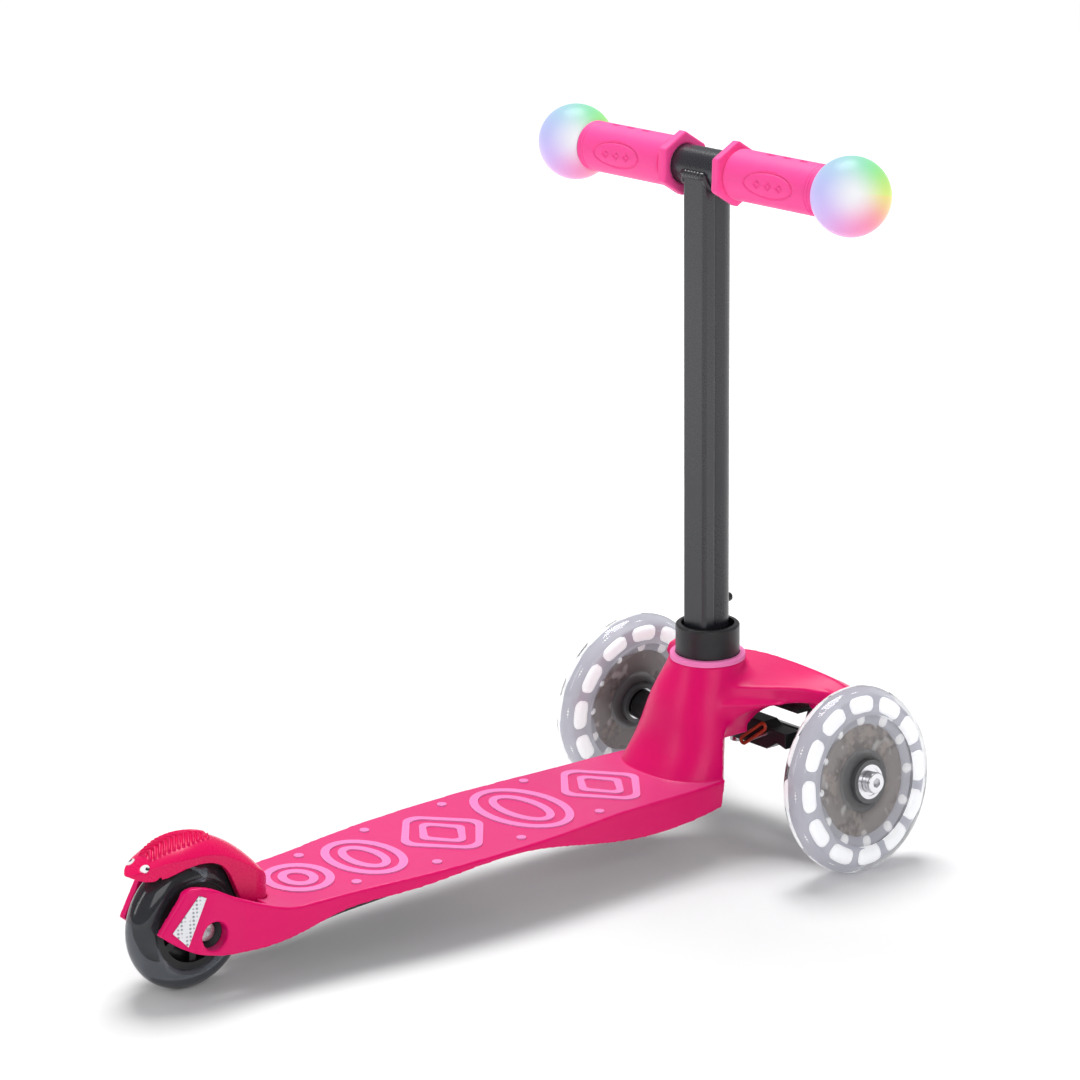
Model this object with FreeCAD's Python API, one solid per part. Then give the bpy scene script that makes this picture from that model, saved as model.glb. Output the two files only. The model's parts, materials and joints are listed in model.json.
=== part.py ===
import FreeCAD, Part
import math
import os
from FreeCAD import Vector

# Three-wheeled kick scooter for a small child, steered by leaning.
# Millimetres. X is the rider's right, Y is forward, Z is up.
# The origin is on the ground, at the middle of the length and width.

# ---- driving sizes -------------------------------------------------------
FRONT_R = 60.0            # front wheel radius
FRONT_W = 24.0            # front wheel width
REAR_R = 40.0             # rear wheel radius
REAR_W = 22.0             # rear wheel width
WHEELBASE = 445.0         # front axle to rear axle
TAIL = 41.5               # tip of the brake behind the rear axle
HALF_TRACK = 107.0        # middle plane of a front wheel from the centre line
CAMBER = 7.0              # degrees, front wheel tops lean inwards
DECK_HALF = 49.5          # half width of the deck at its widest
DECK_Z = 52.5             # top of the deck at its front end
DECK_DROP = 6.0           # how much lower the deck top is at its rear end
STEM_LEAN = 2.2           # degrees, the stem leans back
STEM_S = 31.5             # stem axis behind the front axle, at the collar top
COLLAR_Z = 144.0          # top of the collar
BAR_Z = 440.0             # cross tube axis at the lowest setting
BAR_HALF = 123.0          # middle of a light ball from the centre line
BALL_R = 24.4
LIFT = 190.0              # travel of the telescopic T-bar
KING_X = 66.0             # kingpin from the centre line
KING_TILT = 20.0          # degrees, kingpin tops lean forwards
ARM = 24.0                # steering arm, kingpin to tie rod pin

# ---- clearances ----------------------------------------------------------
RUN = 0.06                # radial running clearance of a pin or shaft
GAP = 0.4                 # between faces that pass each other
SIDE = 0.5                # between faces of a hinge, along its pin

# ---- derived places ------------------------------------------------------
LENGTH = FRONT_R + WHEELBASE + TAIL
Y_FRONT = LENGTH / 2 - FRONT_R
Y_REAR = Y_FRONT - WHEELBASE
SCALE_S = WHEELBASE / 445.0      # stations along the deck follow the wheelbase
SCALE_X = DECK_HALF / 49.5       # widths along the deck follow its half width
CAMBER_RAD = math.radians(CAMBER)
TREAD_R = FRONT_W / 2
HUB_Z = (FRONT_R - TREAD_R) * math.cos(CAMBER_RAD) + TREAD_R
HUB = Vector(HALF_TRACK, Y_FRONT, HUB_Z)
AXLE_DIR = Vector(math.cos(CAMBER_RAD), 0, math.sin(CAMBER_RAD))
KING_BASE_Z = HUB_Z - (HALF_TRACK - KING_X) * math.tan(CAMBER_RAD)
KING_DIR = Vector(0, math.sin(math.radians(KING_TILT)), math.cos(math.radians(KING_TILT)))
STEM_DIR = Vector(0, -math.sin(math.radians(STEM_LEAN)), math.cos(math.radians(STEM_LEAN)))
COLLAR_TOP = Vector(0, Y_FRONT - STEM_S, COLLAR_Z)
UP = Vector(0, 0, 1)
ACROSS = Vector(1, 0, 0)
AHEAD = Vector(0, 1, 0)
ORIGIN = Vector(0, 0, 0)

FASTENER_R = 4.0          # M8 axle bolts and kingpins
BEARING_R = 11.0          # 608 ball bearing
BEARING_W = 7.0

os.makedirs("parts", exist_ok=True)


# ---- helpers -------------------------------------------------------------
def save(name, *solids):
    """Write one node: one solid, or a group of separate like solids."""
    shape = solids[0] if len(solids) == 1 else Part.makeCompound(list(solids))
    shape.exportStep("parts/%s.step" % name)


def station(s):
    """Y of a place s behind the front axle, stretched with the wheelbase."""
    return Y_FRONT - s * SCALE_S


def rod(radius, start, direction, length):
    return Part.makeCylinder(radius, length, start, direction)


def ring(r_out, r_in, start, direction, length):
    overrun = direction * 1.0
    hole = Part.makeCylinder(r_in, length + 2, start - overrun, direction)
    return Part.makeCylinder(r_out, length, start, direction).cut(hole)


def block(x0, x1, y0, y1, z0, z1):
    return Part.makeBox(x1 - x0, y1 - y0, z1 - z0, Vector(x0, y0, z0))


def curve(points):
    """One smooth edge through the points."""
    spline = Part.BSplineCurve()
    spline.interpolate(points)
    return spline.toShape()


def outline(*stretches):
    """A face from stretches of points: two points a line, more a smooth curve."""
    edges = []
    for points in stretches:
        edges.append(Part.makeLine(*points) if len(points) == 2 else curve(points))
    return Part.Face(Part.Wire(Part.__sortEdges__(edges)))


def polygon(points):
    return Part.makePolygon(list(points) + [points[0]])


def placed(solid, start, direction):
    """Move a solid built along Z so that it starts at a point and runs along a direction."""
    solid = solid.copy()
    solid.Placement = FreeCAD.Placement(start, FreeCAD.Rotation(UP, direction)).multiply(solid.Placement)
    return solid


def mirrored(solid):
    return solid.mirror(ORIGIN, ACROSS)


def each_side(name, *solids):
    """Save right-hand solids and their left-hand mirror images as two nodes."""
    save(name + "_right", *solids)
    save(name + "_left", *[mirrored(solid) for solid in solids])


def pair(name, *solids):
    """Save right-hand solids together with their mirror images as one node."""
    save(name, *solids, *[mirrored(solid) for solid in solids])


def fuse(*solids):
    body = solids[0]
    for other in solids[1:]:
        body = body.fuse(other)
    return body


def hexagon(across_flats, start, direction, length):
    corner = across_flats / math.sqrt(3)
    points = []
    for k in range(6):
        angle = math.radians(60 * k)
        points.append(Vector(corner * math.cos(angle), corner * math.sin(angle), 0))
    return placed(Part.Face(polygon(points)).extrude(UP * length), start, direction)


def socket_head(radius, height, start, direction):
    """A round bolt head with a hexagon socket in its outer face."""
    head = Part.makeCylinder(radius, height, start, direction)
    rim = [edge for edge in head.Edges if edge.Curve.TypeId == "Part::GeomCircle"]
    outer = max(rim, key=lambda edge: edge.CenterOfMass.dot(direction))
    head = head.makeFillet(radius * 0.12, [outer])
    depth = height * 0.6
    return head.cut(hexagon(radius * 0.85, start + direction * (height - depth), direction, depth + 1))


# ---- deck: platform ------------------------------------------------------
LEVEL_END_S = 150.0       # the deck is level to here, then slopes down evenly
SLOPE_END_S = 386.0


def deck_top_z(s):
    """Height of the deck's top at a station, falling gently to the rear."""
    along = min(max((s - LEVEL_END_S) / (SLOPE_END_S - LEVEL_END_S), 0.0), 1.0)
    return DECK_Z - DECK_DROP * along


PLAN = [(52, 42.0), (90, 44.5), (140, 45.5), (200, 49.5), (245, 49.5), (300, 46.0), (350, 39.2),
        (385, 36.2), (425, 31.0)]
FORK_END_S = 482.0
FORK_END_HALF = 28.0
FORK_WALL = 5.0           # thickness of a fork arm
FACET = [(28.5, 459.5, 33.8), (28.5, 449.4, 69.2), (22.5, 473.3, 42.5)]   # x, station, z
BELLY = [(52, 35.0), (86, 31.5), (125, 31.0), (163, 36.0), (218, 45.6), (267, 45.0), (314, 40.2),
         (358, 37.0), (393, 28.2), (415, 25.4), (438, 26.4), (458, 32.0), (475, 43.2)]
FORK_TOP = [(SLOPE_END_S, 46.5), (395, 47.2), (407, 50.5), (420, 55.5), (434, 62.0), (446, 68.4), (456, 70.2)]
FORK_REAR = [(456, 70.2), (460.5, 69.0), (463, 65.5)]
FORK_TIP = [(476.5, 45.6), (476.6, 44.4), (475, 43.2)]


def plan_face(widen=0.0):
    right = [Vector(x * SCALE_X + widen, station(s), 0) for s, x in PLAN]
    tip = Vector(FORK_END_HALF * SCALE_X + widen, station(FORK_END_S), 0)
    left = [Vector(-point.x, point.y, 0) for point in right]
    left_tip = Vector(-tip.x, tip.y, 0)
    return outline(right, [right[-1], tip], [tip, left_tip], [left_tip, left[-1]], left,
                   [left[0], right[0]])


def facet_points():
    return [Vector(x * SCALE_X, station(s), z) for x, s, z in FACET]


def facet_normal():
    """Outward normal of the slanted panel at the rear of the right fork arm."""
    low, high, tip = facet_points()
    return (high - low).cross(tip - low).normalize()


def beyond_facet(offset):
    """All that lies outside the slanted panel, moved outwards by an offset."""
    slab = block(-200, 200, -200, 200, 0, 200)
    return placed(slab, facet_points()[0] + facet_normal() * offset, facet_normal())


def top_corners(lift=0.0):
    """The three corners of the deck's top line, seen from the side."""
    return [Vector(0, station(s), deck_top_z(s) + lift) for s in (52, LEVEL_END_S, SLOPE_END_S)]


def platform():
    top = top_corners()
    rise = [Vector(0, station(s), z) for s, z in FORK_TOP]
    rise[0] = top[-1]
    under = [Vector(0, station(s), z) for s, z in BELLY]
    rear = [Vector(0, station(s), z) for s, z in FORK_REAR]
    tip = [Vector(0, station(s), z) for s, z in FORK_TIP]
    side = outline(top[:2], top[1:], rise, rear, [rear[-1], tip[0]], tip, under, [under[0], top[0]])
    side = side.copy()
    side.translate(ACROSS * -80)
    side = side.extrude(ACROSS * 160)
    body = plan_face().extrude(UP * 100).common(side)
    return body.cut(beyond_facet(0)).cut(mirrored(beyond_facet(0)))


def tail_space():
    """The room between the fork arms, with a round boss left on each arm for the axle."""
    room = plan_face(-FORK_WALL).extrude(UP * 120)
    room = room.common(block(-80, 80, Y_REAR - 80, Y_REAR + REAR_R - 3, -5, 120))
    room = room.cut(beyond_facet(-FORK_WALL)).cut(mirrored(beyond_facet(-FORK_WALL)))
    bosses = rod(BOSS_R, Vector(-60, Y_REAR, REAR_R), ACROSS, 120)
    return room.cut(bosses)


# ---- deck: neck and wings ------------------------------------------------
NECK_TOP_R = 24.0
NECK_TOP_Z = COLLAR_Z - 20.0
STOP_Z = NECK_TOP_Z - 20.0   # lower end of the T-bar's tube at rest
SOCKET_Z = STOP_Z - 7.0      # underside of the neck ahead of the stem
TUBE_END_Z = SOCKET_Z - 15.0 # lower end of the inner tube
COLLAR_R = 20.7
SPIGOT_R = 18.2


def stem_point(z):
    """The point of the stem axis at a height."""
    return COLLAR_TOP + STEM_DIR * ((z - COLLAR_Z) / STEM_DIR.z)


def oval(z, centre_s, half_width, back, front, power):
    """A closed smooth outline at a height: half width, and reach back and front."""
    points = []
    for k in range(16):
        angle = 2 * math.pi * k / 16
        c = math.cos(angle)
        s = math.sin(angle)
        x = half_width * math.copysign(abs(c) ** (2 / power), c)
        reach = front if s > 0 else back
        y = reach * math.copysign(abs(s) ** (2 / power), s)
        points.append(Vector(x, station(centre_s) + y, z))
    spline = Part.BSplineCurve()
    spline.interpolate(points, PeriodicFlag=True)
    return Part.Wire(spline.toShape())


def neck():
    top_s = -(stem_point(NECK_TOP_Z).y - Y_FRONT) / SCALE_S
    foot_z = DECK_Z + 14
    rise = NECK_TOP_Z - foot_z
    levels = [
        (DECK_Z - 18, 48, 41 * SCALE_X, 36, 34, 2.6),
        (DECK_Z + 2, 47, 40.5 * SCALE_X, 36, 36, 2.5),
        (foot_z, 44, 38.5 * SCALE_X, 31, 36, 2.4),
        (foot_z + rise * 0.34, 40, 34.5, 28, 33, 2.3),
        (foot_z + rise * 0.72, 35, 28.5, 25.5, 28, 2.1),
        (NECK_TOP_Z, top_s, NECK_TOP_R, NECK_TOP_R, NECK_TOP_R, 2.0),
    ]
    return Part.makeLoft([oval(*level) for level in levels], True, False)


BARREL_TOP = 38.0         # top of the knuckle barrel, along the kingpin
BARREL_LOW = -11.0
BARREL_R = 12.0
BOSS_Z = KING_BASE_Z + BARREL_TOP * math.cos(math.radians(KING_TILT))
# wing sections: share of the way out, rear y, ridge y, front y (ahead of the front axle),
# underside and ridge z above the socket and the neck's top near it, above the kingpin's boss further out
WING_TIP_X = KING_X + 12.5
WING = [(0.0, -50, -2, 17, SOCKET_Z - 2.0, NECK_TOP_Z - 3.0),
        (0.255, -47, 11, 25, SOCKET_Z - 2.0, NECK_TOP_Z - 5.5),
        (0.51, -27, 17, 32, (SOCKET_Z + BOSS_Z) / 2 + 2.9, (NECK_TOP_Z + BOSS_Z) / 2 + 8.3),
        (0.764, -4, 19, 35, BOSS_Z + 8.2, BOSS_Z + 22.7),
        (1.0, 6, 21, 35, BOSS_Z + 6.7, BOSS_Z + 17.2)]


def wing_section(share, rear, ridge, front, under, top):
    x = share * WING_TIP_X
    mid = under + 0.62 * (top - under)
    points = [(rear, under), (rear + 3, mid), (ridge, top), (front - 3, mid - 1), (front, under - 3)]
    return polygon([Vector(x, Y_FRONT + y, z) for y, z in points])


def wing():
    return Part.makeLoft([wing_section(*row) for row in WING], True, False)


def kingpin_point(along):
    return Vector(KING_X, Y_FRONT, KING_BASE_Z) + KING_DIR * along


def kingpin_boss():
    """The round boss under a wing tip that the kingpin screws into."""
    return rod(BARREL_R, kingpin_point(BARREL_TOP + SIDE), KING_DIR, 14)


def front_pocket():
    """The open space ahead of the body, under the neck and wings, for the steering."""
    edge = [Vector(-70, station(59.5), 0), Vector(-70, station(49), 74), Vector(-70, station(42), 87),
            Vector(-70, station(28), SOCKET_Z - 2), Vector(-70, station(12), SOCKET_Z)]
    far = Y_FRONT + 60
    side = outline([edge[0], edge[1]], edge[1:], [edge[-1], Vector(-70, far, SOCKET_Z)],
                   [Vector(-70, far, SOCKET_Z), Vector(-70, far, 0)], [Vector(-70, far, 0), edge[0]])
    space = side.extrude(ACROSS * 140)
    corner = 42 * SCALE_X
    nose = [Vector(-corner, station(60), 0), Vector(-22, station(42), 0), Vector(-10, station(22.5), 0),
            Vector(0, station(18), 0), Vector(10, station(22.5), 0), Vector(22, station(42), 0),
            Vector(corner, station(60), 0)]
    keep = outline(nose, [nose[-1], nose[0]])
    return space.cut(keep.extrude(UP * (SOCKET_Z + 5)))


# ---- deck: one moulding --------------------------------------------------
SLOT_HALF = REAR_W / 2 + 3.5
BRAKE_HALF = 17.5
PIN_S = 398.5             # brake pin
PIN_Z = DECK_Z - DECK_DROP - 3.5
PIN_HALF = BRAKE_HALF + 5.0
FOOT_R = 5.5              # rounding of the fender's foot about its pin
BRAKE_ROOM = 5.0          # inside of the fender above the tyre
BOSS_R = 11.5
INNER_R = 7.9             # inner tube of the stem
ROUND_Y = 5.0             # middle of the tube's round front, ahead of the stem axis
TUBE_BOSS_R = 11.5
AXLE_SINK_X = SLOT_HALF + 2.5    # seats of the axle's head and nut, deep in the fork arms


def round_point(z):
    """The point of the inner tube's axis at a height: the middle of the tube's round front."""
    tilt = math.radians(STEM_LEAN)
    return stem_point(z) + Vector(0, ROUND_Y * math.cos(tilt), ROUND_Y * math.sin(tilt))


def deck_shell():
    body = fuse(platform(), neck())
    body = body.cut(front_pocket())
    right = wing()
    tube_boss = rod(TUBE_BOSS_R, round_point(TUBE_END_Z - 8), STEM_DIR, SOCKET_Z - TUBE_END_Z + 10)
    body = fuse(body, right, mirrored(right), kingpin_boss(), mirrored(kingpin_boss()), tube_boss)
    spigot = rod(SPIGOT_R, stem_point(STOP_Z - 3), STEM_DIR, 60)
    cap = rod(40, stem_point(NECK_TOP_Z), STEM_DIR, 40)
    body = body.cut(cap).cut(spigot)
    body = body.cut(rod(NECK_TOP_R + 5, stem_point(NECK_TOP_Z - 3), STEM_DIR, 10))
    body = body.cut(rod(INNER_R, round_point(TUBE_END_Z), STEM_DIR, 80))
    body = body.cut(rod(TUBE_BOLT_R, round_point(20), STEM_DIR, 70))
    body = body.cut(rod(8, round_point(20), STEM_DIR, (TUBE_END_Z - 4 - 20) / STEM_DIR.z))
    slot = block(-SLOT_HALF, SLOT_HALF, Y_REAR - 60, Y_REAR + REAR_R + 4, 0, 110)
    recess = fender_plan(SIDE).extrude(UP * 120).common(block(-60, 60, -400, 400, PIN_Z - FOOT_R - SIDE, 120))
    body = body.cut(slot).cut(tail_space()).cut(recess)
    body = body.cut(rod(2.0, Vector(-PIN_HALF, station(PIN_S), PIN_Z), ACROSS, 2 * PIN_HALF))
    axle = Vector(0, Y_REAR, REAR_R)
    body = body.cut(rod(FASTENER_R, axle - ACROSS * 60, ACROSS, 120))
    for side in (1, -1):
        body = body.cut(rod(8.5, axle + ACROSS * (side * AXLE_SINK_X), ACROSS * side, 30))
        screw = kingpin_point(BARREL_TOP)
        screw.x *= side
        body = body.cut(rod(FASTENER_R, screw, KING_DIR, 15))
    body = body.cut(pattern_slab(-0.5, 20).common(pattern_prisms()))
    body = body.cut(reflector_plate()).cut(mirrored(reflector_plate()))
    for x, s in rail_screws():
        body = body.cut(rod(1.6, Vector(x, station(s), 30), UP, 14))
    return body.cut(rod(2.5, bracket_bolt_place(), UP, SOCKET_Z - BRACKET_Z + 12))


# ---- raised pattern on the deck -----------------------------------------
LINE = 5.4                # width of a raised line


def lozenge(centre_s, half_x, half_s):
    """A diamond with rounded corners, as a face at ground level."""
    points = [Vector(half_x, 0, 0), Vector(0, half_s, 0), Vector(-half_x, 0, 0), Vector(0, -half_s, 0)]
    flat = Part.Face(polygon([point + Vector(0, station(centre_s), 0) for point in points]))
    return rounded(flat.extrude(UP * 80), min(half_x, half_s) * 0.3)


def oval_post(centre_s, half_x, half_s):
    major = max(half_x, half_s)
    minor = min(half_x, half_s)
    ellipse = Part.Ellipse(ORIGIN, major, minor).toShape()
    face = Part.Face(Part.Wire(ellipse))
    if half_s > half_x:
        face.rotate(ORIGIN, UP, 90)
    face.translate(Vector(0, station(centre_s), 0))
    return face.extrude(UP * 80)


def rounded(post, radius):
    upright = [edge for edge in post.Edges if abs(edge.tangentAt(edge.FirstParameter).z) > 0.9]
    return post.makeFillet(radius, upright)


# motifs from front to rear: shape, middle, half width, half length
MOTIFS = [(lozenge, 122, 38, 33), (oval_post, 188, 39, 27), (lozenge, 252, 38, 33), (oval_post, 313, 31, 23),
          (oval_post, 363, 23, 21)]
STUD_R = 3.0
STUDS = [(155, 36), (221, 38), (285, 35), (341, 28)]


def pattern_prisms():
    """Upright bands: two nested outlines for each motif, and a pair of studs between motifs."""
    bands = []
    for shape, middle, half_x, half_s in MOTIFS:
        line = LINE * 1.2 if shape is lozenge else LINE
        inset = half_s * 0.46
        for shrink in (0.0, inset):
            outer = shape(middle, half_x - shrink, half_s - shrink)
            inner = shape(middle, half_x - shrink - line, half_s - shrink - line)
            bands.append(outer.cut(inner))
    for middle, x in STUDS:
        for side in (1, -1):
            bands.append(Part.makeCylinder(STUD_R, 80, Vector(side * x * SCALE_X, station(middle), 0)))
    return Part.makeCompound(bands)


def pattern_slab(low, high):
    """Everything between two heights above the deck's curved top."""
    face = Part.Face(polygon(top_corners(low) + top_corners(high)[::-1]))
    face.translate(ACROSS * -80)
    return face.extrude(ACROSS * 160)


def deck_pattern():
    return pattern_slab(-0.5, 0.9).common(pattern_prisms()).Solids


# ---- tail: reflectors, axle ---------------------------------------------
REFLECTOR = [(454.5, 66.2), (450.6, 64.4), (462.4, 36.9), (470.5, 45.8)]


def reflector_plate():
    """A trapezoid plate let into the slanted panel of the right fork arm."""
    normal = facet_normal()
    base = facet_points()[0]
    corners = []
    for s, z in REFLECTOR:
        y = station(s)
        x = base.x - ((y - base.y) * normal.y + (z - base.z) * normal.z) / normal.x
        corners.append(Vector(x, y, z) - normal * 0.7)
    return Part.Face(polygon(corners)).extrude(normal * 1.2)


def rear_axle():
    start = Vector(-AXLE_SINK_X - 7.0, Y_REAR, REAR_R)
    shaft = rod(FASTENER_R, start, ACROSS, 2 * AXLE_SINK_X + 7.0)
    return fuse(shaft, socket_head(6.0, 4.0, Vector(AXLE_SINK_X, Y_REAR, REAR_R), ACROSS))


def rear_nut():
    start = Vector(-AXLE_SINK_X, Y_REAR, REAR_R)
    nut = hexagon(13, start, ACROSS * -1, 6.5)
    return nut.cut(rod(FASTENER_R, start + ACROSS, ACROSS * -1, 10))


# ---- wheels --------------------------------------------------------------
def tyre(radius, width, bore, centre, direction):
    """A solid tyre with a half-round tread."""
    half = width / 2
    shoulder = radius - half
    points = [Vector(bore, 0, -half), Vector(shoulder, 0, -half)]
    tread = Part.Arc(points[1], Vector(radius, 0, 0), Vector(shoulder, 0, half)).toShape()
    edges = [Part.makeLine(points[0], points[1]), tread,
             Part.makeLine(Vector(shoulder, 0, half), Vector(bore, 0, half)),
             Part.makeLine(Vector(bore, 0, half), points[0])]
    solid = Part.Face(Part.Wire(edges)).revolve(ORIGIN, UP, 360)
    return placed(solid, centre, direction)


def bearings(centre, direction, outer_face):
    """Two ball bearings, flush with the ends of a hub."""
    solids = []
    for side in (1, -1):
        start = centre + direction * (side * outer_face)
        bearing = ring(BEARING_R, FASTENER_R + RUN, start, direction * -side, BEARING_W)
        groove = ring(BEARING_R - 2.0, FASTENER_R + 2.5, start, direction * -side, 0.5)
        solids.append(bearing.cut(groove))
    return solids


def hub_sleeve(centre, direction, outer_face):
    """The spacer tube between two bearings."""
    half = outer_face - BEARING_W
    return ring(FASTENER_R + 2.0, FASTENER_R + RUN, centre - direction * half, direction, 2 * half)


def rear_core(centre, direction):
    half = REAR_W / 2
    rim_r = REAR_R - 14
    rim = ring(rim_r, rim_r - 4, centre - direction * (half - 2), direction, 2 * (half - 2))
    hub = ring(BEARING_R + 3, BEARING_R, centre - direction * (half + 1.5), direction, 2 * half + 3)
    web = ring(BEARING_R + 2, FASTENER_R + 3, centre - direction * 3, direction, 6)
    solids = [rim, hub, web]
    for k in range(6):
        spoke = block(-half + 4, half - 4, -2.2, 2.2, BEARING_R + 1, rim_r - 2)
        spoke.rotate(ORIGIN, ACROSS, 60 * k)
        spoke.translate(centre)
        solids.append(spoke)
    return fuse(*solids)


LUGS = 12
LUG_OUT_R = FRONT_R - 7.0
RIM_R = FRONT_R - 18.0
DISC_ROOM = RIM_R - 4 - (BEARING_R + 3)   # between the hub and the rim
COIL_R = BEARING_R + 3 + DISC_ROOM * 0.417
COIL_OUT = DISC_ROOM * 0.258              # outer radius of one coil


def local_front(solid):
    """Place a solid that was built about the Z axis onto the right front axle."""
    return placed(solid, HUB, AXLE_DIR)


def front_core():
    half = FRONT_W / 2
    rim = ring(RIM_R, RIM_R - 4, UP * -(half - 2), UP, 2 * (half - 2))
    disc = ring(RIM_R - 3, BEARING_R + 3, UP * -5, UP, 10)
    solids = [rim, disc]
    for k in range(LUGS):
        lug = block(RIM_R - 1, LUG_OUT_R, -8.2, 8.2, -5.5, 5.5)
        lug = lug.cut(block(RIM_R + 1, LUG_OUT_R - 4, -9, -4.2, -6, 6))
        lug = lug.cut(block(RIM_R + 1, LUG_OUT_R - 4, 4.2, 9, -6, 6))
        lug.rotate(ORIGIN, UP, 360.0 * k / LUGS)
        solids.append(lug)
    core = fuse(*solids)
    for k in range(6):
        angle = math.radians(60 * k)
        centre = Vector(COIL_R * math.cos(angle), COIL_R * math.sin(angle), -6)
        core = core.cut(Part.makeCylinder(COIL_OUT + 0.1, 12, centre))
    return local_front(core)


def front_hub():
    half = FRONT_W / 2
    hub = ring(BEARING_R + 3, BEARING_R, UP * -(half + 0.5), UP, 2 * half + 1)
    web = ring(BEARING_R + 1, FASTENER_R + 3, UP * -3, UP, 6)
    return local_front(fuse(hub, web))


def front_coils():
    coils = []
    for k in range(6):
        angle = math.radians(60 * k)
        centre = Vector(COIL_R * math.cos(angle), COIL_R * math.sin(angle), -5)
        coils.append(local_front(ring(COIL_OUT, 2.2, centre, UP, 10)))
    return coils


def front_leds():
    """Small lights on the disc, one behind each lug."""
    lights = []
    for k in range(LUGS):
        angle = math.radians(30 * k + 15)
        for side in (1, -1):
            at = Vector((RIM_R - 7.5) * math.cos(angle), (RIM_R - 7.5) * math.sin(angle), 5 * side)
            chip = Part.makeCylinder(1.9, 2.2, at, UP * side)
            lights.append(local_front(chip))
    return lights


def front_wheel():
    centre_face = FRONT_W / 2 + 0.5
    core = front_core()
    rubber = tyre(FRONT_R, FRONT_W, RIM_R, HUB, AXLE_DIR).cut(core)
    each_side("front_tyre", rubber)
    each_side("front_core", core)
    each_side("front_hub", front_hub())
    each_side("front_coils", *front_coils())
    each_side("front_leds", *front_leds())
    each_side("front_bearings", *bearings(HUB, AXLE_DIR, centre_face))
    each_side("front_sleeve", hub_sleeve(HUB, AXLE_DIR, centre_face))


def rear_wheel():
    centre = Vector(0, Y_REAR, REAR_R)
    outer_face = REAR_W / 2 + 1.5
    save("rear_tyre", tyre(REAR_R, REAR_W, REAR_R - 14, centre, ACROSS))
    save("rear_core", rear_core(centre, ACROSS))
    save("rear_bearings", *bearings(centre, ACROSS, outer_face))
    save("rear_sleeve", hub_sleeve(centre, ACROSS, outer_face))
    washers = []
    for side in (1, -1):
        start = centre + ACROSS * (side * (outer_face + 0.1))
        washers.append(ring(7.0, FASTENER_R, start, ACROSS * side, SLOT_HALF - outer_face - 0.1))
    save("rear_washers", *washers)
    save("rear_axle", rear_axle())
    save("rear_nut", rear_nut())


# ---- steering ------------------------------------------------------------
def steering_frame(solid):
    """Place a solid built with the kingpins along Z and the arms along Y."""
    tilt = FreeCAD.Rotation(ACROSS, -KING_TILT)
    solid = solid.copy()
    place = FreeCAD.Placement(Vector(0, Y_FRONT, KING_BASE_Z), tilt)
    solid.Placement = place.multiply(solid.Placement)
    return solid


ARM_LOW = 4.0             # the steering arm, along the kingpin
ARM_HIGH = 13.0
ROD_LOW = ARM_HIGH + SIDE
ROD_HIGH = ROD_LOW + 8.0
TIE_PIN_R = 3.0


def knuckle():
    length = BARREL_TOP - BARREL_LOW
    barrel = steering_frame(rod(BARREL_R, Vector(KING_X, 0, BARREL_LOW), UP, length))
    inner = HUB - AXLE_DIR * (FRONT_W / 2 + 1.5)
    reach = (HALF_TRACK - KING_X) / math.cos(CAMBER_RAD) - FRONT_W / 2 - 1.5
    boss = rod(10.0, inner, AXLE_DIR * -1, reach)
    arm = block(KING_X - 7, KING_X + 7, 0, ARM, ARM_LOW, ARM_HIGH)
    eye = rod(7.0, Vector(KING_X, ARM, ARM_LOW), UP, ARM_HIGH - ARM_LOW)
    gusset = block(KING_X - 3, KING_X + 3, 6, 16, BARREL_LOW + 3, ARM_LOW + 1)
    arm = steering_frame(fuse(arm, eye, gusset))
    body = fuse(barrel, boss, arm)
    body = body.cut(steering_frame(rod(FASTENER_R + 1.5, Vector(KING_X, 0, -60), UP, 120)))
    body = body.cut(steering_frame(rod(TIE_PIN_R, Vector(KING_X, ARM, -20), UP, 60)))
    return body.cut(rod(FASTENER_R, HUB, AXLE_DIR * -1, reach + FRONT_W / 2 - FASTENER_R - 6))


def kingpin_bushes():
    """A flanged bush in each end of the knuckle barrel."""
    bushes = []
    for start, along in ((BARREL_LOW, 1), (BARREL_TOP, -1)):
        base = Vector(KING_X, 0, start)
        bush = ring(FASTENER_R + 1.5, FASTENER_R + RUN, base, UP * along, 14)
        bushes.append(steering_frame(bush))
    return bushes


def kingpin():
    shaft = rod(FASTENER_R, Vector(KING_X, 0, BARREL_LOW - SIDE), UP, BARREL_TOP - BARREL_LOW + 14)
    head = socket_head(6.5, 5.0, Vector(KING_X, 0, BARREL_LOW - SIDE), UP * -1)
    return steering_frame(fuse(shaft, head))


def front_axle():
    """A bolt from outside the wheel into the knuckle."""
    depth = (HALF_TRACK - KING_X) / math.cos(CAMBER_RAD) - FASTENER_R - 8
    face = HUB + AXLE_DIR * (FRONT_W / 2 + 0.9)
    shaft = rod(FASTENER_R, face, AXLE_DIR * -1, FRONT_W / 2 + 0.9 + depth)
    return fuse(shaft, socket_head(6.8, 5.0, face, AXLE_DIR))


def tie_rod():
    """The bar that makes both knuckles turn together, with a thick middle."""
    low = ROD_LOW
    high = ROD_HIGH
    half = KING_X
    bar = block(-half, half, ARM - 4.5, ARM + 4.5, low, high)
    middle = block(-half * 0.55, half * 0.55, ARM - 7, ARM + 7, low, high)
    eyes = [rod(8.0, Vector(side * half, ARM, low), UP, high - low) for side in (1, -1)]
    body = fuse(bar, middle, *eyes)
    for side in (1, -1):
        body = body.cut(rod(TIE_PIN_R + RUN, Vector(side * half, ARM, low - 5), UP, 20))
    return steering_frame(body)


def tie_pin():
    pin = rod(TIE_PIN_R, Vector(KING_X, ARM, ARM_LOW - 1), UP, ROD_HIGH - ARM_LOW + 1 + SIDE)
    head = rod(5.2, Vector(KING_X, ARM, ROD_HIGH + SIDE), UP, 2.6)
    return steering_frame(fuse(pin, head))


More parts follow.
